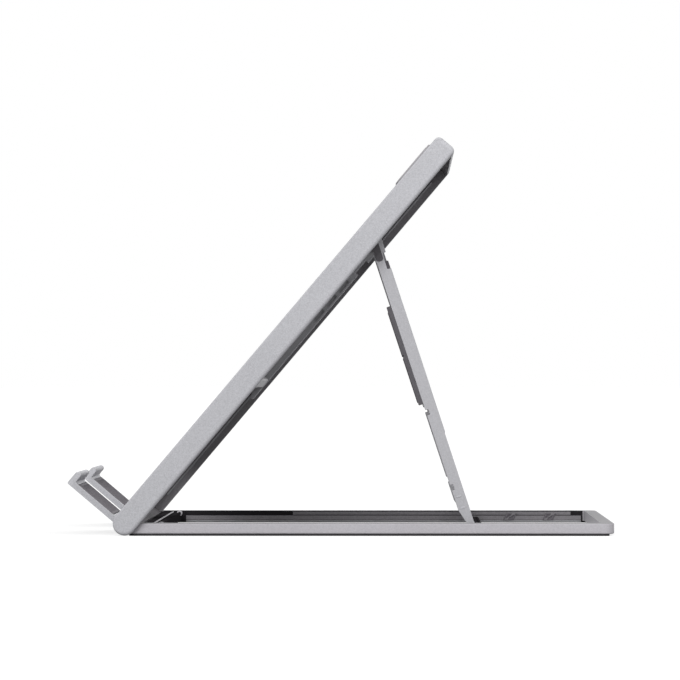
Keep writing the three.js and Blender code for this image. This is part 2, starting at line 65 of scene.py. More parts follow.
# The camera stands low beside the stand, far away, as in the photo
cameraSetup = {
    "eye": (0.0325, -2.65, 0.0850),
    "target": (0.0003, -0.125, 0.1040),
    "lens": 252.2,
    "sensor": 36.0,
}


def makeCamera(setup):
    data = bpy.data.cameras.new("camera")
    data.lens = setup["lens"]
    data.sensor_width = setup["sensor"]
    camera = addObject("camera", data)
    aimAt(camera, setup["eye"], setup["target"])
    bpy.context.scene.camera = camera


makeCamera(cameraSetup)
print("camera set")


# Each place maps a piece's own millimetres to the stand's metres
def placeAt(origin, turn):
    return Matrix.Translation(Vector(origin)) @ Matrix.Rotation(turn, 4, "Y") @ Matrix.Scale(millimetre, 4)


tilt = -math.radians(joints["platform_tilt"]["range_deg"][0])
longLegTurn = math.pi + math.radians(joints["long_leg_fold"]["range_deg"][0])
hingeOrigin = joints["platform_tilt"]["pos_m"]
pivotOrigin = joints["long_leg_fold"]["pos_m"]
basePlace = placeAt((hingeOrigin[0], 0, 0), 0)
platformPlace = placeAt(hingeOrigin, -tilt)
longLegPlace = placeAt(pivotOrigin, longLegTurn - tilt)
shortLegPlace = placeAt(pivotOrigin, math.pi - tilt)
stopperPlaces = {}
for hand, side in sides:
    pin = joints[f"stopper_{hand}_fold"]["pos_m"]
    stopperPlaces[hand] = placeAt((pin[0], 0, pin[2]), -tilt)


# Node helpers for the shaders and the patterns: a fed value is a link or a constant
def feed(tree, value, socket):
    if isinstance(value, bpy.types.NodeSocket):
        tree.links.new(value, socket)
    else:
        socket.default_value = value


def addNode(tree, kind, fed=None, **settings):
    node = tree.nodes.new(kind)
    for key, value in settings.items():
        setattr(node, key, value)
    for key, value in (fed or {}).items():
        feed(tree, value, node.inputs[key])
    return node


def mathNode(tree, operation, first, second, clamp=False):
    node = addNode(tree, "ShaderNodeMath", {0: first, 1: second}, operation=operation, use_clamp=clamp)
    return node.outputs[0]


def vectorOf(tree, x=0.0, y=0.0, z=0.0):
    return addNode(tree, "ShaderNodeCombineXYZ", {"X": x, "Y": y, "Z": z}).outputs[0]


# A mix node's sockets 6 and 7 take its colours, and its output 2 gives one
def mixColour(tree, amount, first, second):
    node = addNode(tree, "ShaderNodeMix", {0: amount, 6: first, 7: second}, data_type="RGBA", blend_type="MIX")
    return node.outputs[2]


def noise(tree, where, scale, detail):
    node = addNode(tree, "ShaderNodeTexNoise", {"Vector": where, "Scale": scale, "Detail": detail})
    return node.outputs["Fac"]


# A socket is its name, its kind and, for some inputs, the value it starts with
def newGroup(name, treeKind, inputs, outputs):
    tree = bpy.data.node_groups.new(name, treeKind)
    for direction, sockets in (("INPUT", inputs), ("OUTPUT", outputs)):
        for label, kind, *start in sockets:
            socket = tree.interface.new_socket(name=label, in_out=direction, socket_type=f"NodeSocket{kind}")
            if start:
                socket.default_value = start[0]
    return tree, addNode(tree, "NodeGroupInput").outputs, addNode(tree, "NodeGroupOutput").inputs


# Fine grain over a broad, slow drift
grainLook = {"fineDetail": 2, "broadScale": 14, "broadDetail": 3, "driftShare": 0.35}


def grainGroup(look):
    tree, given, result = newGroup("blastedGrain", "ShaderNodeTree", [
        ("Color", "Color", (0.5, 0.5, 0.5, 1)),
        ("Grain Size", "Float", 0.0007),
        ("Contrast", "Float", 0.05),
        ("Roughness", "Float", 0.45),
        ("Spread", "Float", 0.08),
    ], [("Color", "Color"), ("Roughness", "Float"), ("Height", "Float")])
    where = addNode(tree, "ShaderNodeTexCoord").outputs["Object"]
    fine = noise(tree, where, mathNode(tree, "DIVIDE", 1.0, given["Grain Size"]), look["fineDetail"])
    broad = noise(tree, where, look["broadScale"], look["broadDetail"])
    centred = mathNode(tree, "SUBTRACT", fine, 0.5)
    drift = mathNode(tree, "MULTIPLY", mathNode(tree, "SUBTRACT", broad, 0.5), look["driftShare"])
    sway = mathNode(tree, "ADD", centred, drift)
    swing = mathNode(tree, "MULTIPLY", sway, given["Contrast"])
    level = mathNode(tree, "ADD", mathNode(tree, "MULTIPLY", swing, 2.0), 1.0)
    tint = addNode(tree, "ShaderNodeVectorMath", {0: given["Color"], "Scale": level}, operation="SCALE")
    spread = mathNode(tree, "MULTIPLY", sway, given["Spread"])
    feed(tree, tint.outputs[0], result["Color"])
    feed(tree, mathNode(tree, "ADD", given["Roughness"], spread, clamp=True), result["Roughness"])
    feed(tree, fine, result["Height"])
    return tree


# Worn edges, lightened also as a painted highlight along the rims, show where a rounded normal leaves the true
# one, in patches
wearAndHighlightLook = {"samples": 4, "gain": 6.0, "patchScale": 160, "patchDetail": 3}


def wearAndHighlightGroup(look):
    tree, given, result = newGroup("edgeWearAndHighlight", "ShaderNodeTree", [
        ("Color", "Color", (0.5, 0.5, 0.5, 1)),
        ("Worn Color", "Color", (0.7, 0.7, 0.7, 1)),
        ("Width", "Float", 0.0004),
        ("Amount", "Float", 0.5),
    ], [("Color", "Color")])
    rounded = addNode(tree, "ShaderNodeBevel", {"Radius": given["Width"]}, samples=look["samples"])
    surface = addNode(tree, "ShaderNodeNewGeometry")
    facing = addNode(tree, "ShaderNodeVectorMath", {0: rounded.outputs[0], 1: surface.outputs["Normal"]},
                     operation="DOT_PRODUCT").outputs["Value"]
    bend = mathNode(tree, "MULTIPLY", mathNode(tree, "SUBTRACT", 1.0, facing), look["gain"], clamp=True)
    where = addNode(tree, "ShaderNodeTexCoord").outputs["Object"]
    patches = noise(tree, where, look["patchScale"], look["patchDetail"])
    mask = mathNode(tree, "MULTIPLY", mathNode(tree, "MULTIPLY", bend, patches), given["Amount"], clamp=True)
    feed(tree, mixColour(tree, mask, given["Color"], given["Worn Color"]), result["Color"])
    return tree


# Dust lies on what faces up
dustLook = {"driftScale": 45, "driftDetail": 4}


def dustGroup(look):
    tree, given, result = newGroup("settledDust", "ShaderNodeTree", [
        ("Color", "Color", (0.5, 0.5, 0.5, 1)),
        ("Dust Color", "Color", (0.6, 0.59, 0.58, 1)),
        ("Amount", "Float", 0.1),
    ], [("Color", "Color")])
    where = addNode(tree, "ShaderNodeTexCoord").outputs
    split = addNode(tree, "ShaderNodeSeparateXYZ", {0: where["Normal"]})
    upward = mathNode(tree, "MAXIMUM", split.outputs["Z"], 0.0)
    drifts = noise(tree, where["Object"], look["driftScale"], look["driftDetail"])
    mask = mathNode(tree, "MULTIPLY", mathNode(tree, "MULTIPLY", upward, drifts), given["Amount"], clamp=True)
    feed(tree, mixColour(tree, mask, given["Color"], given["Dust Color"]), result["Color"])
    return tree


grain = grainGroup(grainLook)
wearAndHighlight = wearAndHighlightGroup(wearAndHighlightLook)
dust = dustGroup(dustLook)


# What each finish looks like: what it doesn't say itself is as in the plain look
plainLook = {
    "metallic": 0.0, "roughness": 0.5, "gloss": 0.12, "grainSize": 0.0006, "contrast": 0.18, "relief": 0.15,
    "reliefDepth": 0.00005, "wearAndHighlight": 0.4, "wearAndHighlightWidth": 0.0004, "dust": 0.02,
}
finishes = {
    # The shell's lighter edges are partly a painted highlight along the arms' top rims
    "satinShell": {
        "color": (0.475, 0.475, 0.5, 1), "wornAndHighlight": (0.6, 0.6, 0.62, 1), "contrast": 0.3, "wearAndHighlight": 0.8,
        "dust": 0.03,
    },
    # The frame's edges are lightened strongly as a painted highlight along the rails' top rims
    "satinFrame": {
        "color": (0.474, 0.46, 0.488, 1), "wornAndHighlight": (0.63, 0.62, 0.65, 1), "wearAndHighlight": 1.7, "wearAndHighlightWidth": 0.0005,
    },
    # Painted shade: a darker grey for the faces that turn away from the sides, along the rims
    "shadedRim": {
        "color": (0.36, 0.36, 0.38, 1), "wornAndHighlight": (0.42, 0.42, 0.44, 1), "gloss": 0.1, "contrast": 0.25,
    },
    "topFrame": {
        "color": (0.3, 0.295, 0.305, 1), "wornAndHighlight": (0.36, 0.355, 0.37, 1), "roughness": 0.6, "gloss": 0.05,
        "wearAndHighlight": 0.5,
    },
    "greyLeg": {
        "color": (0.44, 0.438, 0.46, 1), "wornAndHighlight": (0.58, 0.58, 0.6, 1), "roughness": 0.55, "wearAndHighlight": 0.6,
        "dust": 0.04,
    },
    "innerShell": {
        "color": (0.24, 0.23, 0.245, 1), "wornAndHighlight": (0.36, 0.35, 0.37, 1), "roughness": 0.6, "gloss": 0.1,
        "grainSize": 0.0009, "contrast": 0.25, "relief": 0.3, "wearAndHighlight": 0.6, "dust": 0.06,
    },
    # The two dark linings are partly the parts' own dark colour and partly painted shade on inner faces and
    # under the platform
    "darkLiningAndShade": {
        "color": (0.085, 0.08, 0.088, 1), "wornAndHighlight": (0.16, 0.155, 0.165, 1), "roughness": 0.6, "gloss": 0.05,
        "grainSize": 0.0009, "contrast": 0.3, "relief": 0.3, "dust": 0.1,
    },
    "deepLiningAndShade": {
        "color": (0.028, 0.026, 0.029, 1), "wornAndHighlight": (0.06, 0.057, 0.06, 1), "roughness": 0.8, "gloss": 0.0,
        "grainSize": 0.0009, "contrast": 0.3, "relief": 0.3, "wearAndHighlight": 0.3, "dust": 0.01,
    },
    # A dark grey: the cushions' own colour, and painted shade on the brackets and over the legs' heads
    "darkBlockAndShade": {
        "color": (0.1, 0.095, 0.104, 1), "wornAndHighlight": (0.22, 0.21, 0.23, 1), "roughness": 0.62, "gloss": 0.15,
        "grainSize": 0.0009, "contrast": 0.3, "relief": 0.4, "dust": 0.05,
    },
    "gripRubber": {
        "color": (0.16, 0.15, 0.165, 1), "wornAndHighlight": (0.22, 0.21, 0.225, 1), "roughness": 0.75, "gloss": 0.15,
        "grainSize": 0.0009, "contrast": 0.35, "relief": 0.5, "wearAndHighlight": 0.3, "dust": 0.06,
    },
    "padRubber": {
        "color": (0.36, 0.35, 0.365, 1), "wornAndHighlight": (0.42, 0.41, 0.425, 1), "roughness": 0.7, "gloss": 0.15,
        "grainSize": 0.0009, "contrast": 0.3, "relief": 0.5, "wearAndHighlight": 0.3, "dust": 0.05,
    },
    "footRubber": {
        "color": (0.035, 0.033, 0.036, 1), "wornAndHighlight": (0.09, 0.085, 0.09, 1), "roughness": 0.8, "gloss": 0.1,
        "grainSize": 0.0007, "contrast": 0.3, "relief": 0.5, "wearAndHighlight": 0.3, "dust": 0.06,
    },
    "brightSteel": {
        "color": (0.5, 0.5, 0.51, 1), "wornAndHighlight": (0.7, 0.7, 0.7, 1), "metallic": 0.9, "roughness": 0.3,
        "gloss": 0.5, "grainSize": 0.0003, "contrast": 0.1, "relief": 0.1, "wearAndHighlight": 0.3, "dust": 0.03,
    },
}


def makeFinish(name, look):
    material = bpy.data.materials.new(name)
    material.use_nodes = True
    tree = material.node_tree
    shader = tree.nodes["Principled BSDF"]
    shader.inputs["Metallic"].default_value = look["metallic"]
    shader.inputs["Specular IOR Level"].default_value = look["gloss"]
    speckle = addNode(tree, "ShaderNodeGroup", {
        "Color": look["color"], "Grain Size": look["grainSize"], "Contrast": look["contrast"],
        "Roughness": look["roughness"]}, node_tree=grain).outputs
    edges = addNode(tree, "ShaderNodeGroup", {
        "Color": speckle["Color"], "Worn Color": look["wornAndHighlight"], "Amount": look["wearAndHighlight"],
        "Width": look["wearAndHighlightWidth"]}, node_tree=wearAndHighlight)
    film = addNode(tree, "ShaderNodeGroup", {"Color": edges.outputs["Color"], "Amount": look["dust"]},
                   node_tree=dust)
    relief = addNode(tree, "ShaderNodeBump", {
        "Height": speckle["Height"], "Strength": look["relief"], "Distance": look["reliefDepth"]})
    feed(tree, film.outputs["Color"], shader.inputs["Base Color"])
    feed(tree, speckle["Roughness"], shader.inputs["Roughness"])
    feed(tree, relief.outputs[0], shader.inputs["Normal"])
    return material


materials = {name: makeFinish(name, {**plainLook, **look}) for name, look in finishes.items()}
print("finishes made:", len(materials))


# Mesh helpers
smoothing = {
    "arcSteps": 10, "rodSteps": 32, "ringSteps": 48, "bevelSteps": 3, "mergeGap": 0.0005,
    "sharpAngle": math.radians(30), "cutAngle": math.radians(50),
}


def arc(x, z, radius, start, end, steps=None):
    count = steps or smoothing["arcSteps"]
    angles = [math.radians(start + (end - start) * step / count) for step in range(count + 1)]
    return [(x + radius * math.cos(angle), z + radius * math.sin(angle)) for angle in angles]


def rectangle(xRange, zRange, radius=0):
    (x0, x1), (z0, z1) = xRange, zRange
    if radius <= 0:
        return [(x0, z0), (x1, z0), (x1, z1), (x0, z1)]
    return (arc(x1 - radius, z0 + radius, radius, -90, 0) + arc(x1 - radius, z1 - radius, radius, 0, 90)
            + arc(x0 + radius, z1 - radius, radius, 90, 180) + arc(x0 + radius, z0 + radius, radius, 180, 270))


# From the inner to the outer distance in Y, on the left (1) or the right (-1)
def span(side, inner, outer):
    return (inner, outer) if side > 0 else (-outer, -inner)


# "across" stands in X and Z, "upright" lies in X and Y, "along" stands in Y and Z
placings = {
    "across": lambda u, v, depth: (u, depth, v),
    "upright": lambda u, v, depth: (u, v, depth),
    "along": lambda u, v, depth: (depth, u, v),
}


def meshFrom(name, corners, faces):
    mesh = bpy.data.meshes.new(name)
    mesh.from_pydata(corners, [], faces)
    shape = bmesh.new()
    shape.from_mesh(mesh)
    bmesh.ops.remove_doubles(shape, verts=shape.verts, dist=smoothing["mergeGap"])
    bmesh.ops.recalc_face_normals(shape, faces=shape.faces)
    shape.to_mesh(mesh)
    shape.free()
    return mesh


def solid(name, outline, depths, placing="across"):
    place = placings[placing]
    count = len(outline)
    corners = [place(u, v, depth) for depth in depths for u, v in outline]
    faces = [tuple(range(count)), tuple(range(2 * count - 1, count - 1, -1))]
    for index in range(count):
        after = (index + 1) % count
        faces.append((index, after, count + after, count + index))
    return addObject(name, meshFrom(name, corners, faces))


def block(name, uRange, vRange, depths, placing="across", corner=0):
    return solid(name, rectangle(uRange, vRange, corner), depths, placing)


def rod(name, radius, depths, x=0, z=0, steps=None):
    return solid(name, arc(x, z, radius, 0, 360, steps or smoothing["rodSteps"])[:-1], depths)


# Loops that shrink towards each end of the depth, so the rims are round
def roundedSolid(name, outline, depths, radii, placing, steps):
    place = placings[placing]
    count = len(outline)
    normals = []
    for index in range(count):
        before, after = Vector(outline[index - 1]), Vector(outline[(index + 1) % count])
        edge = (after - before).normalized()
        normals.append(Vector((edge.y, -edge.x)))
    area = sum(outline[i - 1][0] * outline[i][1] - outline[i][0] * outline[i - 1][1] for i in range(count))
    outward = 1 if area > 0 else -1
    loops = []
    for end, way in ((0, -1), (1, 1)):
        turns = [math.pi / 2 * step / steps for step in range(steps + 1)]
        for turn in (reversed(turns) if end == 0 else turns):
            loop = []
            for index, (u, v) in enumerate(outline):
                radius = radii[end](u, v) if callable(radii[end]) else radii[end]
                inset = radius * (1 - math.cos(turn)) * outward
                depth = depths[end] - way * radius * (1 - math.sin(turn))
                loop.append(place(u - normals[index].x * inset, v - normals[index].y * inset, depth))
            loops.append(loop)
    corners = [corner for loop in loops for corner in loop]
    faces = [tuple(range(count)), tuple(range(len(corners) - 1, len(corners) - count - 1, -1))]
    for level in range(len(loops) - 1):
        for index in range(count):
            after = (index + 1) % count
            low, high = level * count, (level + 1) * count
            faces.append((low + index, low + after, high + after, high + index))
    return addObject(name, meshFrom(name, corners, faces))


# The modifiers' result becomes the piece's own mesh
def bake(piece):
    graph = bpy.context.evaluated_depsgraph_get()
    mesh = bpy.data.meshes.new_from_object(piece.evaluated_get(graph))
    piece.modifiers.clear()
    piece.data = mesh
    return piece


def combine(piece, others, operation):
    for other in others:
        modifier = piece.modifiers.new("shape", "BOOLEAN")
        modifier.operation = operation
        modifier.object = other
        modifier.solver = "EXACT"
    bake(piece)
    for other in others:
        bpy.data.objects.remove(other)
    return piece


def cut(piece, *others):
    return combine(piece, others, "DIFFERENCE")


def ring(name, radius, hole, depths, x, z, steps=None, past=overrun):
    low, high = depths
    return cut(rod(name, radius, depths, x, z, steps), rod("hole", hole, (low - past, high + past), x, z))


def soften(piece, width, angle=None):
    bevel = piece.modifiers.new("soften", "BEVEL")
    bevel.width = width
    bevel.segments = smoothing["bevelSteps"]
    bevel.limit_method = "ANGLE"
    bevel.angle_limit = angle or smoothing["sharpAngle"]
    bevel.use_clamp_overlap = True
    return bake(piece)


# Several parts of one piece, in one mesh
def gather(name, parts):
    mesh = bpy.data.meshes.new(name)
    shape = bmesh.new()
    for part in parts:
        shape.from_mesh(part.data)
    shape.to_mesh(mesh)
    shape.free()
    for part in parts:
        bpy.data.objects.remove(part)
    return addObject(name, mesh)


# "lined" says which of the linings a face has, counted from 1, or 0 for the finish itself
def settle(piece, place, body, finish, replaced=(), linings=(), lined=None):
    mesh = piece.data
    mesh.materials.clear()
    for name in (finish, *linings):
        mesh.materials.append(materials[name])
    for face in mesh.polygons:
        face.use_smooth = True
        face.material_index = int(lined(face.center, face.normal)) if lined else 0
    mesh.set_sharp_from_angle(angle=smoothing["sharpAngle"])
    weighted = piece.modifiers.new("flatFaces", "WEIGHTED_NORMAL")
    weighted.keep_sharp = True
    bake(piece)
    piece.data.transform(place)
    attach(piece, body)
    if replaced:
        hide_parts(*replaced)


# Geometry Nodes: every pattern ends in real geometry with a material
def newPattern(name, inputs):
    return newGroup(name, "GeometryNodeTree", [("Geometry", "Geometry"), *inputs, ("Material", "Material")],
                    [("Geometry", "Geometry")])


def finishPattern(tree, given, result, shape):
    real = addNode(tree, "GeometryNodeRealizeInstances", {"Geometry": shape})
    paint = addNode(tree, "GeometryNodeSetMaterial", {
        "Geometry": real.outputs["Geometry"], "Material": given["Material"]})
    feed(tree, paint.outputs["Geometry"], result["Geometry"])
    return tree


# The pattern's inputs are set by their sockets' identifiers before the piece is first evaluated
def applyPattern(piece, tree, finish, values):
    modifier = piece.modifiers.new("pattern", "NODES")
    modifier.node_group = tree
    names = {item.name: item.identifier for item in tree.interface.items_tree
             if item.item_type == "SOCKET" and item.in_out == "INPUT"}
    for label, value in {**values, "Material": materials[finish]}.items():
        modifier[names[label]] = value
    return bake(piece)


def pointsObject(name, points):
    mesh = bpy.data.meshes.new(name)
    mesh.from_pydata(points, [], [])
    return addObject(name, mesh)


# The shares are of the screw head's height (shoulder) and of its radius (crown, cross)
patternShape = {
    "screwSides": 32, "shoulderShare": 0.6, "crownShare": 0.8, "crossShare": 1.1, "turnSeed": 7,
    "ribSides": 12, "bossSegments": 20, "bossRings": 10,
}


# Screw heads: a chamfered disc with a cross cut in it, one on each point, face down, turned at random
def screwPattern(shape):
    tree, given, result = newPattern("screwHeads", [
        ("Radius", "Float", 2.6),
        ("Height", "Float", 1.2),
        ("Cross Width", "Float", 0.7),
        ("Cross Depth", "Float", 0.7),
    ])
    low = mathNode(tree, "MULTIPLY", given["Height"], shape["shoulderShare"])
    shoulder = addNode(tree, "GeometryNodeMeshCylinder", {
        "Vertices": shape["screwSides"], "Radius": given["Radius"], "Depth": low})
    lift = addNode(tree, "GeometryNodeTransform", {
        "Geometry": shoulder.outputs["Mesh"],
        "Translation": vectorOf(tree, z=mathNode(tree, "MULTIPLY", low, 0.5))})
    crown = addNode(tree, "GeometryNodeMeshCone", {
        "Vertices": shape["screwSides"], "Radius Bottom": given["Radius"],
        "Radius Top": mathNode(tree, "MULTIPLY", given["Radius"], shape["crownShare"]),
        "Depth": mathNode(tree, "SUBTRACT", given["Height"], low)})
    raiseCrown = addNode(tree, "GeometryNodeTransform", {
        "Geometry": crown.outputs["Mesh"], "Translation": vectorOf(tree, z=low)})
    head = addNode(tree, "GeometryNodeMeshBoolean", operation="UNION")
    feed(tree, lift.outputs["Geometry"], head.inputs["Mesh 2"])
    feed(tree, raiseCrown.outputs["Geometry"], head.inputs["Mesh 2"])
    blades = addNode(tree, "GeometryNodeJoinGeometry")
    reach = mathNode(tree, "MULTIPLY", given["Radius"], shape["crossShare"])
    high = mathNode(tree, "MULTIPLY", given["Cross Depth"], 2.0)
    for length, width in ((reach, given["Cross Width"]), (given["Cross Width"], reach)):
        blade = addNode(tree, "GeometryNodeMeshCube", {"Size": vectorOf(tree, length, width, high)})
        raiseBlade = addNode(tree, "GeometryNodeTransform", {
            "Geometry": blade.outputs["Mesh"], "Translation": vectorOf(tree, z=given["Height"])})
        feed(tree, raiseBlade.outputs["Geometry"], blades.inputs["Geometry"])
    carved = addNode(tree, "GeometryNodeMeshBoolean", {
        "Mesh 1": head.outputs["Mesh"], "Mesh 2": blades.outputs["Geometry"]}, operation="DIFFERENCE")
    spin = addNode(tree, "FunctionNodeRandomValue", {
        0: (math.pi, 0, 0), 1: (math.pi, 0, math.pi), "Seed": shape["turnSeed"]}, data_type="FLOAT_VECTOR")
    scatter = addNode(tree, "GeometryNodeInstanceOnPoints", {
        "Points": given["Geometry"], "Instance": carved.outputs["Mesh"], "Rotation": spin.outputs[0]})
    return finishPattern(tree, given, result, scatter.outputs["Instances"])


# Half-round bars side by side in Y, each one running in X: the other half is sunk in the piece
def ribPattern(shape):
    tree, given, result = newPattern("ribField", [
        ("Count", "Int", 8),
        ("Pitch", "Float", 10.0),
        ("Length", "Float", 40.0),
        ("Width", "Float", 1.0),
        ("Height", "Float", 1.0),
    ])
    run = mathNode(tree, "MULTIPLY", mathNode(tree, "SUBTRACT", given["Count"], 1.0), given["Pitch"])
    row = addNode(tree, "GeometryNodeMeshLine", {
        "Count": given["Count"], "Start Location": vectorOf(tree, y=mathNode(tree, "MULTIPLY", run, -0.5)),
        "Offset": vectorOf(tree, y=given["Pitch"])}, mode="OFFSET")
    bar = addNode(tree, "GeometryNodeMeshCylinder", {
        "Vertices": shape["ribSides"], "Radius": 1.0, "Depth": 1.0})
    lay = addNode(tree, "GeometryNodeTransform", {
        "Geometry": bar.outputs["Mesh"], "Rotation": (0, math.pi / 2, 0)})
    half = mathNode(tree, "MULTIPLY", given["Width"], 0.5)
    fit = addNode(tree, "GeometryNodeTransform", {
        "Geometry": lay.outputs["Geometry"], "Scale": vectorOf(tree, given["Length"], half, given["Height"])})
    scatter = addNode(tree, "GeometryNodeInstanceOnPoints", {
        "Points": row.outputs["Mesh"], "Instance": fit.outputs["Geometry"]})
    return finishPattern(tree, given, result, scatter.outputs["Instances"])


# Low oval bosses, one on each point
def bossPattern(shape):
    tree, given, result = newPattern("ovalBosses", [("Size", "Vector", (3.0, 6.0, 1.0))])
    ball = addNode(tree, "GeometryNodeMeshUVSphere", {
        "Segments": shape["bossSegments"], "Rings": shape["bossRings"], "Radius": 1.0})
    scatter = addNode(tree, "GeometryNodeInstanceOnPoints", {
        "Points": given["Geometry"], "Instance": ball.outputs["Mesh"], "Scale": given["Size"]})
    return finishPattern(tree, given, result, scatter.outputs["Instances"])


# A row of pockets cut out of the piece that carries the pattern
def pocketPattern():
    tree, given, result = newPattern("pocketRow", [
        ("Count", "Int", 5),
        ("Pitch", "Float", 11.0),
        ("Start", "Vector", (0.0, 0.0, 0.0)),
        ("Size", "Vector", (8.0, 3.0, 3.0)),
    ])
    row = addNode(tree, "GeometryNodeMeshLine", {
        "Count": given["Count"], "Start Location": given["Start"],
        "Offset": vectorOf(tree, x=given["Pitch"])}, mode="OFFSET")
    box = addNode(tree, "GeometryNodeMeshCube", {"Size": given["Size"]})
    scatter = addNode(tree, "GeometryNodeInstanceOnPoints", {
        "Points": row.outputs["Mesh"], "Instance": box.outputs["Mesh"]})
    real = addNode(tree, "GeometryNodeRealizeInstances", {"Geometry": scatter.outputs["Instances"]})
    carved = addNode(tree, "GeometryNodeMeshBoolean", {
        "Mesh 1": given["Geometry"], "Mesh 2": real.outputs["Geometry"]}, operation="DIFFERENCE")
    return finishPattern(tree, given, result, carved.outputs["Mesh"])


screwHeads = screwPattern(patternShape)
ribField = ribPattern(patternShape)
ovalBosses = bossPattern(patternShape)
pocketRow = pocketPattern()


# Ribs about the origin: the keys of "ribs" are the pattern's own inputs
def makeRibs(name, ribs, length, finish):
    return applyPattern(pointsObject(name, [(0, 0, 0)]), ribField, finish, {**ribs, "Length": length})


print("patterns built")


# Base frame: sizes in millimetres from the hinge axis
baseSize = {
    "reach": 260, "low": 1.05, "high": 6.85, "inner": 113.8, "outer": 120.3, "corner": 5, "notchTo": 9,
    "rim": 0.8, "cutRim": 0.2, "topTilt": 0.4, "darkShort": 1, "darkSlack": 0.05,
    "windowFrom": 19, "windowTo": 252.8, "windowCorner": 3, "wellFrom": 7, "wellTo": 20, "wellDepth": 0.9,
    "stepDepth": 1.4, "stepHeight": 3.1, "shelfInset": 2, "shelfTo": 247,
}


def makeBaseFrame(size):
    inner, outer, corner, high = size["inner"], size["outer"], size["corner"], size["high"]
    end, wide = size["reach"] - corner, inner + size["stepDepth"]
    outline = [(0, -inner), (0, -outer)]
    outline += arc(end, corner - outer, corner, -90, 0) + arc(end, outer - corner, corner, 0, 90)
    outline += [(0, outer), (0, inner), (size["notchTo"], inner), (size["notchTo"], -inner)]
    body = soften(solid("base", outline, (size["low"], high), "upright"), size["rim"])
    window = block("window", (size["windowFrom"], size["windowTo"]), (-inner, inner), (0, high + overrun),
                   "upright", size["windowCorner"])
    shelf = block("shelf", (size["windowFrom"] + size["shelfInset"], size["shelfTo"]), (-wide, wide),
                  (size["low"] + size["stepHeight"], high + overrun), "upright", size["windowCorner"])
    well = block("well", (size["wellFrom"], size["wellTo"]), (-inner, inner),
                 (high - size["wellDepth"], high + overrun), "upright")
    cut(body, window, shelf, well)
    soften(body, size["cutRim"], smoothing["cutAngle"])

    # 1 is the dark inner faces, painted shade inside the frame, 2 the greyer top
    def lined(centre, normal):
        if centre.z > high - size["rim"] and normal.z > size["topTilt"]:
            return 2
        dark = centre.x < size["windowTo"] - size["darkShort"] and abs(centre.y) < wide + size["darkSlack"]
        return 1 if dark else 0

    settle(body, basePlace, "base", "satinFrame", ["base_frame"], ("deepLiningAndShade", "topFrame"), lined)


makeBaseFrame(baseSize)

# The eyes stand on the rails' front ends, round the hinge pins
eyeSize = {"radius": 4.2, "height": 6.5, "hole": 1.9, "rim": 0.4}


def makeEye(size, base, hand, side):
    eye = ring(f"hinge_eye_{hand}", size["radius"], size["hole"], span(side, base["inner"], base["outer"]),
               0, size["height"], smoothing["ringSteps"], farOverrun)
    settle(soften(eye, size["rim"]), basePlace, "base", "satinFrame")


# Body, tick and stroke each have half a length, half a height and a lean. Depths are from the catch's face.
catchSize = {
    "places": (209.8, 232.5), "middle": 3.4, "body": (4, 2, 2), "proud": 1, "root": 2, "rim": 0.25,
    "hollowShare": 0.55, "hollowDepth": 0.6, "markRim": 0.1, "tickInset": 0.5,
    "tick": (1.3, 0.45, 0.6), "tickDepths": (-0.3, 0.2),
    "stroke": (2.2, 1.1, 3.4), "strokeDepths": (-0.2, 0.7),
}


def leaningBar(x, z, half, rise, lean):
    return [(x - half, z - rise), (x + half - lean, z - rise),
            (x + half, z + rise), (x - half + lean, z + rise)]


def makeCatches(size, base, hand, side):
    half, rise, lean = size["body"]
    middle, face = size["middle"], base["inner"] - size["proud"]
    blocks, marks = [], []

    def mark(x, z, kind):
        low, high = size[f"{kind}Depths"]
        bar = solid(kind, leaningBar(x, z, *size[kind]), span(side, face + low, face + high))
        marks.append(soften(bar, size["markRim"]))

    for x in size["places"]:
        catch = solid("catch", leaningBar(x, middle, half, rise, lean),
                      span(side, face, base["inner"] + size["root"]))
        hollow = leaningBar(x, middle, *(part * size["hollowShare"] for part in size["body"]))
        cut(catch, solid("hollow", hollow, span(side, face - overrun, face + size["hollowDepth"])))
        blocks.append(soften(catch, size["rim"]))
        for way in (-1, 1):
            mark(x + way * (half - lean), middle + way * (rise - size["tickInset"]), "tick")
        mark(x, middle, "stroke")
    settle(gather(f"base_catches_{hand}", blocks), basePlace, "base", "gripRubber")
    # The ticks and the stroke are lighter than the catch: painted highlights along its edges
    settle(gather(f"catch_ticks_{hand}", marks), basePlace, "base", "innerShell")


# Long strips on the rails' inner faces, the upper one on the face that is stepped back
railStrips = {
    "rail_ledge": {"from": 22, "to": 251, "low": 0.4, "high": 1.2, "proud": 0.4, "root": 1, "rim": 0.2,
                   "stepped": False, "finish": "greyLeg"},
    "rail_band": {"from": 22, "to": 251, "low": 1.45, "high": 4.0, "proud": 0.2, "root": 1, "rim": 0.12,
                  "stepped": False, "finish": "innerShell"},
    "rail_upper": {"from": 84, "to": 245, "low": 4.35, "high": 6.25, "proud": 0.2, "root": 0.5, "rim": 0.1,
                   "stepped": True, "finish": "innerShell"},
}


def makeRailStrips(strips, base, hand, side):
    for name, strip in strips.items():
        face = base["inner"] + (base["stepDepth"] if strip["stepped"] else 0)
        bar = block(f"{name}_{hand}", (strip["from"], strip["to"]), (strip["low"], strip["high"]),
                    span(side, face - strip["proud"], face + strip["root"]))
        settle(soften(bar, strip["rim"]), basePlace, "base", strip["finish"])


knobSize = {"x": 18.6, "high": 7.1, "radius": 1.6, "hole": 0.8, "inner": 104, "width": 3, "rim": 0.2}


def makeKnob(size, hand, side):
    depths = span(side, size["inner"], size["inner"] + size["width"])
    knob = ring(f"hinge_knob_{hand}", size["radius"], size["hole"], depths, size["x"],
                size["high"] - size["radius"])
    settle(soften(knob, size["rim"]), basePlace, "base", "satinFrame")


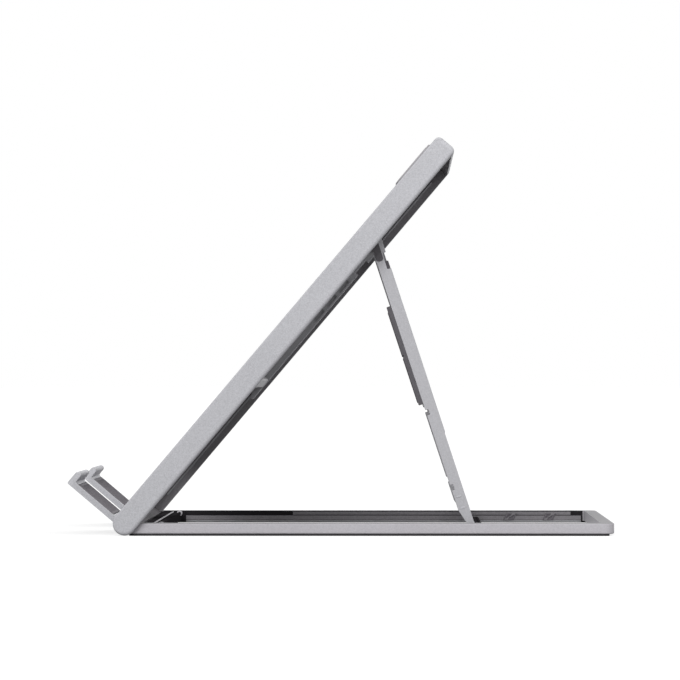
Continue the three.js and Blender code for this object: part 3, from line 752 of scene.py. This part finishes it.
for hand, side in sides:
    makeEye(eyeSize, baseSize, hand, side)
    makeCatches(catchSize, baseSize, hand, side)
    makeRailStrips(railStrips, baseSize, hand, side)
    makeKnob(knobSize, hand, side)

# A thin lip across the front rail
lipSize = {"from": 14.0, "to": 14.9, "high": 6.4, "root": 0.2, "short": 0.5, "rim": 0.2}


def makeLip(size, base):
    low, reach = base["high"] - base["wellDepth"] - size["root"], base["inner"] - size["short"]
    lip = block("front_rail_lip", (size["from"], size["to"]), (low, size["high"]), (-reach, reach))
    settle(soften(lip, size["rim"]), basePlace, "base", "satinFrame")


makeLip(lipSize, baseSize)

stopBarSize = {
    "from": 187.9, "to": 191.3, "low": 0.5, "high": 3.4, "reach": 113.5, "rim": 0.6,
    "grooveHalf": 0.6, "grooveDepth": 0.5, "grooveShort": 8,
}


def makeStopBar(size):
    reach, high, half = size["reach"], size["high"], size["grooveHalf"]
    middle, grooveReach = (size["from"] + size["to"]) / 2, reach - size["grooveShort"]
    bar = block("stop_bar", (size["from"], size["to"]), (size["low"], high), (-reach, reach))
    cut(bar, block("groove", (middle - half, middle + half), (high - size["grooveDepth"], high + overrun),
                   (-grooveReach, grooveReach)))
    # Its darkest finish is partly painted shade under the platform
    settle(soften(bar, size["rim"]), basePlace, "base", "deepLiningAndShade", ["base_stop_bar"])


makeStopBar(stopBarSize)

footSize = {
    "from": 2, "to": 257.5, "inner": 114.3, "outer": 119.8, "height": 1.0, "rims": (0.3, 0.1), "rimSteps": 3,
}


def makeFeet(size):
    for hand, side in sides:
        low, high = span(side, size["inner"], size["outer"])
        outline = rectangle((size["from"], size["to"]), (low, high), (high - low) / 2)
        strip = roundedSolid(f"foot_strip_{hand}", outline, (0, size["height"]), size["rims"], "upright",
                             size["rimSteps"])
        settle(strip, basePlace, "base", "footRubber", [f"base_foot_{hand}"])


makeFeet(footSize)

washerSize = {"radius": 3.8, "hole": 1.9, "inner": 120.6, "outer": 121.2, "height": 6.5, "rim": 0.12}


def makeWashers(size):
    for hand, side in sides:
        depths = span(side, size["inner"], size["outer"])
        washer = ring(f"pin_washer_{hand}", size["radius"], size["hole"], depths, 0, size["height"],
                      smoothing["ringSteps"])
        settle(soften(washer, size["rim"]), basePlace, "base", "brightSteel",
               [f"hinge_washer_{hand}"])


makeWashers(washerSize)
print("base made")


# Platform, drawn level with the hinge axis at its origin
armSize = {
    "reach": 265, "half": 6.25, "inner": 121.5, "outer": 125, "rearCorner": 3, "noseSteps": 28,
    "topEdge": 0.7, "lowerEdge": 2.0, "innerEdge": 0.25, "rearEdge": 2.7, "rearBlend": 3.2, "edgeSteps": 6,
    "pinHole": 1.9, "pinDepth": 2.8, "rimFacing": 0.55, "innerSlack": 0.01,
    "ledgeFrom": 12, "ledgeTo": 260.7, "ledgeWidth": 3, "ledgeLow": 2.45, "ledgeHigh": 4.45, "ledgeRoot": 0.5,
    "ledgeRim": 0.3, "ledgeSlack": 0.15,
    "ribFrom": 14, "ribTo": 252, "ribLow": -2.5, "ribHigh": -1.7, "ribProud": 0.5, "ribRoot": 0.4,
    "ribRim": 0.15,
}


def makeSideArms(size):
    half, corner, inner = size["half"], size["rearCorner"], size["inner"]
    end = size["reach"] - corner
    outline = arc(end, corner - half, corner, -90, 0) + arc(end, half - corner, corner, 0, 90)
    outline += arc(0, 0, half, 90, 270, size["noseSteps"])

    # The outer edge is rounder below than above, and roundest at the rear
    def edge(u, v):
        share = (1 - v / half) / 2
        beside = size["topEdge"] + (size["lowerEdge"] - size["topEdge"]) * share * share * (3 - 2 * share)
        back = min(1, max(0, (u - size["reach"] + size["rearBlend"]) / size["rearBlend"]))
        return beside + (size["rearEdge"] - beside) * back * back

    # 1 is the inner face, darker as painted shade under the platform, 2 the edges, a little darker as painted
    # shade along the rims
    def lined(centre, normal):
        if abs(centre.y) < inner + size["innerSlack"] and centre.z < size["ledgeHigh"] - size["ledgeSlack"]:
            return 1
        return 2 if abs(normal.y) < size["rimFacing"] else 0

    for hand, side in sides:
        radii = (size["innerEdge"], edge) if side > 0 else (edge, size["innerEdge"])
        arm = roundedSolid("arm", outline, span(side, inner, size["outer"]), radii, "across",
                           size["edgeSteps"])
        cut(arm, rod("hole", size["pinHole"], span(side, inner - overrun, inner + size["pinDepth"])))
        ledge = block("ledge", (size["ledgeFrom"], size["ledgeTo"]), (size["ledgeLow"], size["ledgeHigh"]),
                      span(side, inner - size["ledgeWidth"], inner + size["ledgeRoot"]))
        soften(ledge, size["ledgeRim"])
        rib = block(f"arm_rib_{hand}", (size["ribFrom"], size["ribTo"]), (size["ribLow"], size["ribHigh"]),
                    span(side, inner - size["ribProud"], inner + size["ribRoot"]))
        settle(soften(rib, size["ribRim"]), platformPlace, "platform", "greyLeg")
        settle(gather(f"side_arm_cover_{hand}", [arm, ledge]), platformPlace, "platform",
               "satinShell", [f"side_arm_{hand}"], ("innerShell", "shadedRim"), lined)


makeSideArms(armSize)

rearRailSize = {
    "from": 261, "to": 265, "half": 6.25, "corner": 3, "reach": 121.2, "rim": 0.35, "darkSlack": 0.1,
}


def makeRearRail(size):
    half, corner, end = size["half"], size["corner"], size["to"] - size["corner"]
    outline = [(size["from"], half), (size["from"], -half)]
    outline += arc(end, corner - half, corner, -90, 0) + arc(end, half - corner, corner, 0, 90)
    rail = soften(solid("rear_cover", outline, (-size["reach"], size["reach"])), size["rim"])
    # The inner face is painted dark as shade under the platform
    darkTo = size["from"] + size["darkSlack"]
    settle(rail, platformPlace, "platform", "satinShell", ["platform_rear_rail"], ("darkLiningAndShade",),
           lambda centre, normal: centre.x < darkTo)


makeRearRail(rearRailSize)

frontBarSize = {
    "half": 6.25, "depth": 4.5, "reach": 112.9, "rim": 0.4, "noseSteps": 28,
    "pocketInner": 28.85, "pocketOuter": 101.65, "pocketFloor": -0.7,
    "pinX": -0.6, "pinZ": 2.2, "pinHole": 1.3, "pinReach": 3.1, "hingeHole": 1.9, "hingeDepth": 5.3,
    "rearFacing": 0.5, "underFacing": 0.3, "underFrom": -2,
}


def makeFrontBar(size):
    half, reach, depth = size["half"], size["reach"], size["depth"]
    outline = [(depth, -half), (depth, half)] + arc(0, 0, half, 90, 270, size["noseSteps"])
    bar = solid("front_barrel", outline, (-reach, reach))
    pocketInner, pocketOuter = size["pocketInner"], size["pocketOuter"]
    for _, side in sides:
        pocket = block("pocket", (-half - farOverrun, depth + farOverrun),
                       (size["pocketFloor"], half + farOverrun), span(side, pocketInner, pocketOuter))
        pinHole = rod("pinHole", size["pinHole"],
                      span(side, pocketInner - size["pinReach"], pocketOuter + size["pinReach"]),
                      size["pinX"], size["pinZ"])
        hingeHole = rod("hingeHole", size["hingeHole"],
                        span(side, reach - size["hingeDepth"], reach + farOverrun))
        cut(bar, pocket, pinHole, hingeHole)
    soften(bar, size["rim"])

    # The rear and the underside are painted dark as shade under the platform
    def lined(centre, normal):
        under = normal.z < -size["underFacing"] and centre.x > size["underFrom"]
        return normal.x > size["rearFacing"] or under

    settle(bar, platformPlace, "platform", "satinShell", ["platform_front_bar"],
           ("darkLiningAndShade",), lined)


makeFrontBar(frontBarSize)

panelSize = {
    "from": 4.8, "to": 260.7, "reach": 121.2, "low": 4.75, "high": 6.25, "rim": 0.25, "underFacing": 0.5,
    "windowTo": 36.0, "windowInner": 28.85, "windowOuter": 101.65, "windowCorner": 2.5, "windowPast": 12,
    "padFrom": 231, "padTo": 258.5, "padInner": 60, "padOuter": 116, "padCorner": 5, "padSunk": 0.7,
    "padGap": 0.3, "ribFrom": 40, "ribTo": 258,
    "ribs": {"Count": 13, "Pitch": 13.0, "Width": 1.6, "Height": 0.9},
}


def makePanel(size):
    low, high, reach, gap = size["low"], size["high"], size["reach"], size["padGap"]
    panel = block("panel_skin", (size["from"], size["to"]), (-reach, reach), (low, high), "upright")
    cutters = []
    for _, side in sides:
        cutters.append(block("window", (size["from"] - size["windowPast"], size["windowTo"]),
                             span(side, size["windowInner"], size["windowOuter"]),
                             (low - farOverrun, high + farOverrun), "upright", size["windowCorner"]))
        cutters.append(block("well", (size["padFrom"] - gap, size["padTo"] + gap),
                             span(side, size["padInner"] - gap, size["padOuter"] + gap),
                             (high - size["padSunk"], high + farOverrun), "upright", size["padCorner"]))
    cut(panel, *cutters)
    soften(panel, size["rim"])
    # The underside is painted dark as shade under the platform
    settle(panel, platformPlace, "platform", "satinShell", ["platform_panel"], ("darkLiningAndShade",),
           lambda centre, normal: normal.z < -size["underFacing"])
    ribs = makeRibs("panel_ribs", size["ribs"], size["ribTo"] - size["ribFrom"], "darkLiningAndShade")
    ribs.data.transform(Matrix.Translation(((size["ribFrom"] + size["ribTo"]) / 2, 0, low)))
    settle(ribs, platformPlace, "platform", "darkLiningAndShade")


makePanel(panelSize)

padSize = {
    "proud": 1.2, "sunk": 0.4, "rims": (0.05, 0.4), "rimSteps": 4, "lineShort": 5.0,
    "lines": {"Count": 21, "Pitch": 2.5, "Width": 0.7, "Height": 0.12},
}


def makeTopPads(size, panel):
    top = panel["high"] + size["proud"] - size["lines"]["Height"]
    start, end = panel["padFrom"], panel["padTo"]
    for hand, side in sides:
        low, high = span(side, panel["padInner"], panel["padOuter"])
        pad = roundedSolid("pad", rectangle((start, end), (low, high), panel["padCorner"]),
                           (panel["high"] - size["sunk"], top), size["rims"], "upright", size["rimSteps"])
        lines = makeRibs("lines", size["lines"], end - start - size["lineShort"], "padRubber")
        lines.data.transform(Matrix.Translation(((start + end) / 2, (low + high) / 2, top)))
        settle(gather(f"laptop_pad_{hand}", [pad, lines]), platformPlace, "platform", "padRubber",
               [f"top_pad_{hand}"])


makeTopPads(padSize, panelSize)

stiffenerSize = {
    "places": (69.32, 118.88, 168.44, 235.2), "half": 90, "width": 14, "low": 2.45, "high": 4.45,
    "corner": 2.5, "screwInset": 5, "channelWidth": 5.5, "channelDepth": 0.9, "channelShort": 11,
    "channelSlack": 0.01, "bossCount": 7, "bossPitch": 22.0, "bossSize": (2.0, 5.5, 1.0), "rim": 0.4,
}


def makeStiffeners(size):
    half, low, floor = size["half"], size["low"], size["low"] + size["channelDepth"]
    halfWidth, halfChannel, run = size["width"] / 2, size["channelWidth"] / 2, half - size["channelShort"]
    first = -(size["bossCount"] - 1) / 2 * size["bossPitch"]
    for number, x in enumerate(size["places"], 1):
        strip = block("strip", (x - halfWidth, x + halfWidth), (-half, half), (low, size["high"]), "upright",
                      size["corner"])
        cut(strip, block("channel", (x - halfChannel, x + halfChannel), (-run, run), (low - overrun, floor),
                         "upright", halfChannel - size["channelSlack"]))
        soften(strip, size["rim"])
        points = [(x, first + size["bossPitch"] * index, floor) for index in range(size["bossCount"])]
        bosses = applyPattern(pointsObject("bosses", points), ovalBosses, "darkLiningAndShade",
                              {"Size": size["bossSize"]})
        settle(gather(f"stiffener_strip_{number}", [strip, bosses]), platformPlace, "platform",
               "darkLiningAndShade", [f"panel_stiffener_{number}"])


makeStiffeners(stiffenerSize)

# Each bracket is a plate with two lugs, which hold the axle of the legs on its side
bracketSize = {
    "pivot": 202.7, "drop": 1.5, "length": 14, "corner": 1.0, "rim": 0.3,
    "plateInner": 82, "plateLow": 2.9, "plateHigh": 4.45, "lugs": ((92, 95.6), (109.9, 112.4)),
    "lugRadius": 3.6, "lugRoot": 0.4, "lugSteps": 20, "holeRadius": 1.8,
    "axleRadius": 1.5, "axleShort": 0.3, "axleRim": 0.3, "screwY": 87.0, "screwShift": 4.1,
}


def makeBrackets(size):
    pivot, drop, radius = size["pivot"], size["drop"], size["lugRadius"]
    half, rootAt = size["length"] / 2, size["plateLow"] + size["lugRoot"]
    start, end = size["lugs"][0][0], size["lugs"][1][1]
    outline = [(pivot + radius, rootAt), (pivot - radius, rootAt)]
    outline += arc(pivot, -drop, radius, 180, 360, size["lugSteps"])
    for hand, side in sides:
        plate = block("plate", (pivot - half, pivot + half), span(side, size["plateInner"], end),
                      (size["plateLow"], size["plateHigh"]), "upright", size["corner"])
        parts = [soften(plate, size["rim"])]
        for inner, outer in size["lugs"]:
            lug = solid("lug", outline, span(side, inner, outer))
            through = span(side, inner - overrun, outer + overrun)
            cut(lug, rod("hole", size["holeRadius"], through, pivot, -drop))
            parts.append(soften(lug, size["rim"]))
        # The dark brackets are partly painted shade over the tops of the legs
        settle(gather(f"pivot_bracket_{hand}", parts), platformPlace, "platform", "darkBlockAndShade",
               [f"leg_bracket_{hand}"])
        axle = rod(f"pivot_axle_{hand}", size["axleRadius"],
                   span(side, start + size["axleShort"], end - size["axleShort"]), pivot, -drop)
        settle(soften(axle, size["axleRim"]), platformPlace, "platform", "brightSteel",
               [f"leg_axle_{hand}"])


makeBrackets(bracketSize)

# Each kind of pin: its radius, its two ends in Y, and its place in X and Z
pinSize = {
    "hinge": (1.6, 107.9, 124.0, 0, 0), "stopper": (1.0, 26.05, 104.45, -0.6, 2.2), "chamfer": 0.25,
}


def makePins(size):
    for hand, side in sides:
        for kind in ("hinge", "stopper"):
            radius, inner, outer, x, z = size[kind]
            pin = rod(f"{kind}_rod_{hand}", radius, span(side, inner, outer), x, z)
            settle(soften(pin, size["chamfer"]), platformPlace, "platform", "brightSteel",
                   [f"{kind}_pin_{hand}"])


makePins(pinSize)

screwSize = {
    "head": {"Radius": 2.6, "Height": 1.2, "Cross Width": 0.7, "Cross Depth": 0.7},
    "stripSeat": 2.15, "plateSeat": 2.6,
}


def makeScrews(size, strips, bracket):
    points, replaced = [], []
    for number, x in enumerate(strips["places"], 1):
        for hand, side in sides:
            points.append((x, (strips["half"] - strips["screwInset"]) * side, size["stripSeat"]))
            replaced.append(f"stiffener_screw_{number}_{hand}")
    for end, way in (("front", -1), ("rear", 1)):
        x = bracket["pivot"] + bracket["screwShift"] * way
        for hand, side in sides:
            points.append((x, bracket["screwY"] * side, size["plateSeat"]))
            replaced.append(f"bracket_screw_{end}_{hand}")
    heads = applyPattern(pointsObject("screw_heads", points), screwHeads, "brightSteel", size["head"])
    settle(heads, platformPlace, "platform", "brightSteel", replaced)


makeScrews(screwSize, stiffenerSize, bracketSize)
print("platform made")


# Legs, drawn from the pivot along X, with Z towards the side that faces down when folded
legShape = {
    "finish": "greyLeg", "thickness": 6.5, "headSteps": 20, "nose": 1.1, "noseSteps": 10, "hole": 1.8,
    "rim": 0.45, "rimFacing": 0.8, "fineRim": 0.1, "recess": (10.6, 19.6), "recessDepth": 2.0,
    "notchWidth": 3, "notchDepth": 1.6,
    "pocketFrom": 26, "pocketLength": 8, "pocketPitch": 11, "pocketDepth": 1.4, "pocketEdge": 1.2,
    "tickRise": 1.3, "tickLength": 2.7, "tickWidth": 0.9, "tickCorner": 0.4, "tickRoot": 0.3,
    "tickProud": 0.25,
    "shadePlateInset": 0.3, "shadePlateTo": 14.5, "shadePlateSide": 2.3, "shadePlateCorner": 1.5, "shadePlateRoot": 0.3, "shadePlateProud": 0.2,
    "blockProud": 2.45, "blockGap": 0.05, "blockCorner": 0.5, "blockRim": 0.35, "grooveWidth": 0.8,
    "grooveDepth": 0.8, "padRoot": 0.1, "padSunk": 0.25, "padCorner": 0.3, "padInset": 0.4, "padRim": 0.2,
    "barWidth": 6, "barThickness": 3, "barGap": 0.3, "barCorner": 1.0, "barRim": 0.3,
}
longLegSize = {
    "name": "long_leg", "length": 169.2, "width": 6.5, "lane": 109.5, "thinFrom": 0, "front": -3.25,
    "rear": 2.85, "bevel": 15.6, "rearStepFrom": 111.7, "notches": (139.6, 97.4), "block": (38.8, 94.0),
    "barFrom": 149.8, "pockets": 7, "ticks": (146.2, 152.6), "stopPad": (15.3, 19.5),
}
shortLegSize = {
    "name": "short_leg", "length": 114, "width": 6.4, "lane": 102.4, "thinFrom": 66.8, "front": -0.55,
    "rear": 3.25, "bevel": 4.5, "rearStepFrom": 90, "notches": (), "block": (39.8, 66.3),
    "barFrom": 99, "pockets": 3, "ticks": (), "stopPad": None,
}


# The foot's slope starts at the toe and meets the round nose as its tangent
def legOutline(leg, shape):
    half, nose = shape["thickness"] / 2, shape["nose"]
    front, rear = leg["front"], leg["rear"]
    noseX, noseZ = leg["length"] - nose, rear - nose
    toe = leg["length"] - leg["bevel"]
    rise, run = noseZ - front, noseX - toe
    normal = math.atan2(rise, run) - math.acos(-nose / math.hypot(rise, run))
    points = [(leg["rearStepFrom"], half), (leg["rearStepFrom"] + half - rear, rear)]
    points += arc(noseX, noseZ, nose, 90, math.degrees(normal), shape["noseSteps"])
    points.append((toe, front))
    for start in leg["notches"]:
        end, depth = start + shape["notchWidth"], front + shape["notchDepth"]
        points += [(end, front), (end, depth), (start, depth), (start, front)]
    if leg["thinFrom"]:
        points += [(leg["thinFrom"] + half, front), (leg["thinFrom"], -half)]
    points += arc(0, 0, half, 270, 90, shape["headSteps"])
    return points


def makeLeg(leg, shape, place):
    name, finish, lane = leg["name"], shape["finish"], leg["lane"]
    half, inner = shape["thickness"] / 2, lane - leg["width"]
    recessFloor = half - shape["recessDepth"]
    low = -half + shape["pocketEdge"]
    high = (half if leg["thinFrom"] else leg["rear"]) - shape["pocketEdge"]
    for hand, side in sides:
        through = span(side, inner - farOverrun, lane + farOverrun)
        arm = solid(f"{name}_bar_{hand}", legOutline(leg, shape), span(side, inner, lane))
        cut(arm, rod("hole", shape["hole"], through),
            block("recess", shape["recess"], (recessFloor, half + farOverrun), through))
        soften(arm, shape["rim"])
        start = (shape["pocketFrom"] + shape["pocketLength"] / 2, inner * side, (low + high) / 2)
        applyPattern(arm, pocketRow, finish, {
            "Count": leg["pockets"], "Pitch": shape["pocketPitch"], "Start": start,
            "Size": (shape["pocketLength"], 2 * shape["pocketDepth"], high - low)})
        # Faces that don't face sideways take the darker rim grey: painted shade along the leg's edges
        settle(arm, place, name, finish, [f"{name}_arm_{hand}"], ("shadedRim",),
               lambda centre, normal: abs(normal.y) < shape["rimFacing"])

        # A thin dark plate on the head of the leg: painted shade where the arm and the platform shade the top
        # of the leg
        shadePlateLow = -half + shape["shadePlateInset"]
        shadePlate = block(f"{name}_shade_plate_{hand}", (shadePlateLow, shape["shadePlateTo"]), (shadePlateLow, half - shape["shadePlateSide"]),
                    span(side, lane - shape["shadePlateRoot"], lane + shape["shadePlateProud"]), corner=shape["shadePlateCorner"])
        cut(shadePlate, rod("hole", shape["hole"], through))
        settle(soften(shadePlate, shape["fineRim"]), place, name, "darkBlockAndShade")

        ticks = []
        for start in leg["ticks"]:
            tickLow = leg["front"] + shape["tickRise"]
            tick = block("tick", (start, start + shape["tickWidth"]), (tickLow, tickLow + shape["tickLength"]),
                         span(side, lane - shape["tickRoot"], lane + shape["tickProud"]),
                         corner=shape["tickCorner"])
            ticks.append(soften(tick, shape["fineRim"]))
        if ticks:
            settle(gather(f"{name}_marks_{hand}", ticks), place, name, "satinShell")

        back = -half - shape["blockGap"]
        face, middle = back - shape["blockProud"], sum(leg["block"]) / 2
        grooveHalf = shape["grooveWidth"] / 2
        cushion = block(f"{name}_cushion_{hand}", leg["block"], (face, back), span(side, inner, lane),
                        corner=shape["blockCorner"])
        cut(cushion, block("groove", (middle - grooveHalf, middle + grooveHalf),
                           (face - overrun, face + shape["grooveDepth"]), through))
        settle(soften(cushion, shape["blockRim"]), place, name, "darkBlockAndShade", [f"{name}_block_{hand}"])

        if leg["stopPad"]:
            bumper = block(f"{name}_bumper_{hand}", leg["stopPad"],
                           (recessFloor - shape["padRoot"], half - shape["padSunk"]),
                           span(side, inner + shape["padInset"], lane - shape["padInset"]),
                           corner=shape["padCorner"])
            settle(soften(bumper, shape["padRim"]), place, name, "darkLiningAndShade")
    top, reach = leg["rear"] - shape["barGap"], inner - shape["barGap"]
    bar = block(f"{name}_tie", (leg["barFrom"], leg["barFrom"] + shape["barWidth"]),
                (top - shape["barThickness"], top), (-reach, reach), corner=shape["barCorner"])
    settle(soften(bar, shape["barRim"]), place, name, finish, [f"{name}_crossbar"])


makeLeg(longLegSize, legShape, longLegPlace)
makeLeg(shortLegSize, legShape, shortLegPlace)
print("legs made")


# Stoppers, drawn from their pin, standing square to the platform
stopperSize = {
    "outer": -4.05, "plate": 2.95, "eye": 2.4, "tip": 36.1, "lip": 3.3, "lipSteps": 14, "reach": 8.4,
    "outerCorner": 0.8, "cornerSteps": 10, "innerCorner": 1.0, "filletSteps": 6,
    "from": 29.25, "to": 101.25, "sideCorner": 3.0, "pinHole": 1.3, "rim": 0.45,
    "padInset": 4, "padLow": 6.4, "padHigh": 30.8, "padCorner": 3, "padGap": 0.3, "padSunk": 1.1,
    "padProud": 0.4, "padRims": (0.05, 0.25), "rimSteps": 3, "lineShort": 3.0,
    "lines": {"Count": 21, "Pitch": 2.8, "Width": 0.8, "Height": 0.14},
}


def makeStoppers(size):
    outer, tip, gap = size["outer"], size["tip"], size["padGap"]
    inner = outer + size["plate"]
    under, nub = tip - size["lip"], size["lip"] / 2
    lipEnd = outer + size["reach"] - nub
    corner, fillet = size["outerCorner"], size["innerCorner"]
    outline = [(outer, -size["eye"]), (inner, -size["eye"])]
    outline += arc(inner + fillet, under - fillet, fillet, 180, 90, size["filletSteps"])
    outline += arc(lipEnd, under + nub, nub, -90, 90, size["lipSteps"])
    outline += arc(outer + corner, tip - corner, corner, 90, 180, size["cornerSteps"])
    padLow, padHigh = size["padLow"], size["padHigh"]
    wellFloor, lineFloor = inner - size["padSunk"], inner + size["padProud"] - size["lines"]["Height"]
    for hand, side in sides:
        start, end = span(side, size["from"], size["to"])
        hook = solid(f"laptop_hook_{hand}", outline, (start, end))
        limit = block("limit", (start, end), (-tip, tip), (-tip, tip), "along", size["sideCorner"])
        combine(hook, [rod("eye", size["eye"], (start, end))], "UNION")
        combine(hook, [limit], "INTERSECT")
        padStart, padEnd = start + size["padInset"], end - size["padInset"]
        well = block("well", (padStart - gap, padEnd + gap), (padLow - gap, padHigh + gap),
                     (wellFloor, inner + overrun), "along", size["padCorner"])
        cut(hook, well, rod("hole", size["pinHole"], (start - farOverrun, end + farOverrun)))
        settle(soften(hook, size["rim"]), stopperPlaces[hand], f"stopper_{hand}", "satinShell",
               [f"stopper_{hand}"])
        pad = roundedSolid("pad", rectangle((padStart, padEnd), (padLow, padHigh), size["padCorner"]),
                           (wellFloor + gap, lineFloor), size["padRims"], "along", size["rimSteps"])
        lines = makeRibs("lines", size["lines"], padHigh - padLow - size["lineShort"], "gripRubber")
        middle = (lineFloor, (padStart + padEnd) / 2, (padLow + padHigh) / 2)
        lines.data.transform(Matrix.Translation(middle) @ Matrix.Rotation(math.pi / 2, 4, "Y"))
        settle(gather(f"hook_pad_{hand}", [pad, lines]), stopperPlaces[hand], f"stopper_{hand}",
               "gripRubber", [f"stopper_pad_{hand}"])


makeStoppers(stopperSize)
print("stoppers made")


# Floor, light and background
stageSetup = {
    "floorSize": 60.0, "floorColor": (0.35, 0.35, 0.35, 1), "floorGlow": 0.73, "ambient": 0.5,
    "background": (1, 1, 1, 1), "ambientColor": (1, 1, 1, 1),
}


def seenDirectly(tree):
    path = addNode(tree, "ShaderNodeLightPath").outputs
    either = mathNode(tree, "MAXIMUM", path["Is Camera Ray"], path["Is Glossy Ray"])
    return mathNode(tree, "MAXIMUM", either, path["Is Transmission Ray"])


def makeFloor(setup):
    half = setup["floorSize"] / 2
    mesh = bpy.data.meshes.new("floor")
    corners = [(-half, -half, 0), (half, -half, 0), (half, half, 0), (-half, half, 0)]
    mesh.from_pydata(corners, [], [(0, 1, 2, 3)])
    material = bpy.data.materials.new("paleFloor")
    material.use_nodes = True
    tree = material.node_tree
    tree.nodes.clear()
    matte = addNode(tree, "ShaderNodeBsdfDiffuse", {"Color": setup["floorColor"]})
    glow = addNode(tree, "ShaderNodeEmission", {
        "Strength": mathNode(tree, "MULTIPLY", seenDirectly(tree), setup["floorGlow"])})
    both = addNode(tree, "ShaderNodeAddShader", {0: matte.outputs[0], 1: glow.outputs[0]})
    # Clear from below, so that the underside can be looked at
    clear = addNode(tree, "ShaderNodeBsdfTransparent")
    facing = addNode(tree, "ShaderNodeNewGeometry")
    either = addNode(tree, "ShaderNodeMixShader", {
        0: facing.outputs["Backfacing"], 1: both.outputs[0], 2: clear.outputs[0]})
    addNode(tree, "ShaderNodeOutputMaterial", {"Surface": either.outputs[0]})
    mesh.materials.append(material)
    addObject("floor", mesh)


def makeWorld(setup):
    world = bpy.data.worlds.new("studio")
    world.use_nodes = True
    bpy.context.scene.world = world
    tree = world.node_tree
    tree.nodes.clear()
    shown = addNode(tree, "ShaderNodeBackground", {"Color": setup["background"]})
    lit = addNode(tree, "ShaderNodeBackground", {"Color": setup["ambientColor"], "Strength": setup["ambient"]})
    mix = addNode(tree, "ShaderNodeMixShader", {0: seenDirectly(tree), 1: lit.outputs[0], 2: shown.outputs[0]})
    addNode(tree, "ShaderNodeOutputWorld", {"Surface": mix.outputs[0]})


# Broad soft suns: "from" points at the light
sunSetups = {
    "keySun": {"from": (-0.3, -0.85, 0.42), "strength": 1.72, "softness": 35},
    "topSun": {"from": (0.1, 0.1, 1.0), "strength": 0.3, "softness": 60},
    "rearSun": {"from": (0.5, 0.75, 0.45), "strength": 0.85, "softness": 60},
}


def makeSun(name, setup):
    data = bpy.data.lights.new(name, "SUN")
    data.energy = setup["strength"]
    data.angle = math.radians(setup["softness"])
    addObject(name, data).rotation_euler = Vector(setup["from"]).to_track_quat("Z", "Y").to_euler()


# A large lamp to the upper right, which makes the top of the platform a little lighter
panelLamp = {"place": (0.2, -0.4, 0.36), "aim": (0.06, -0.125, 0.2), "size": 0.2, "watts": 0.42}


def makeLamp(setup):
    data = bpy.data.lights.new("panelLamp", "AREA")
    data.shape = "DISK"
    data.size = setup["size"]
    data.energy = setup["watts"]
    lamp = addObject("panelLamp", data)
    aimAt(lamp, setup["place"], setup["aim"])
    lamp.visible_camera = False


makeFloor(stageSetup)
makeWorld(stageSetup)
for name, setup in sunSetups.items():
    makeSun(name, setup)
makeLamp(panelLamp)
bpy.context.scene.view_settings.view_transform = "Standard"
print("stage lit")
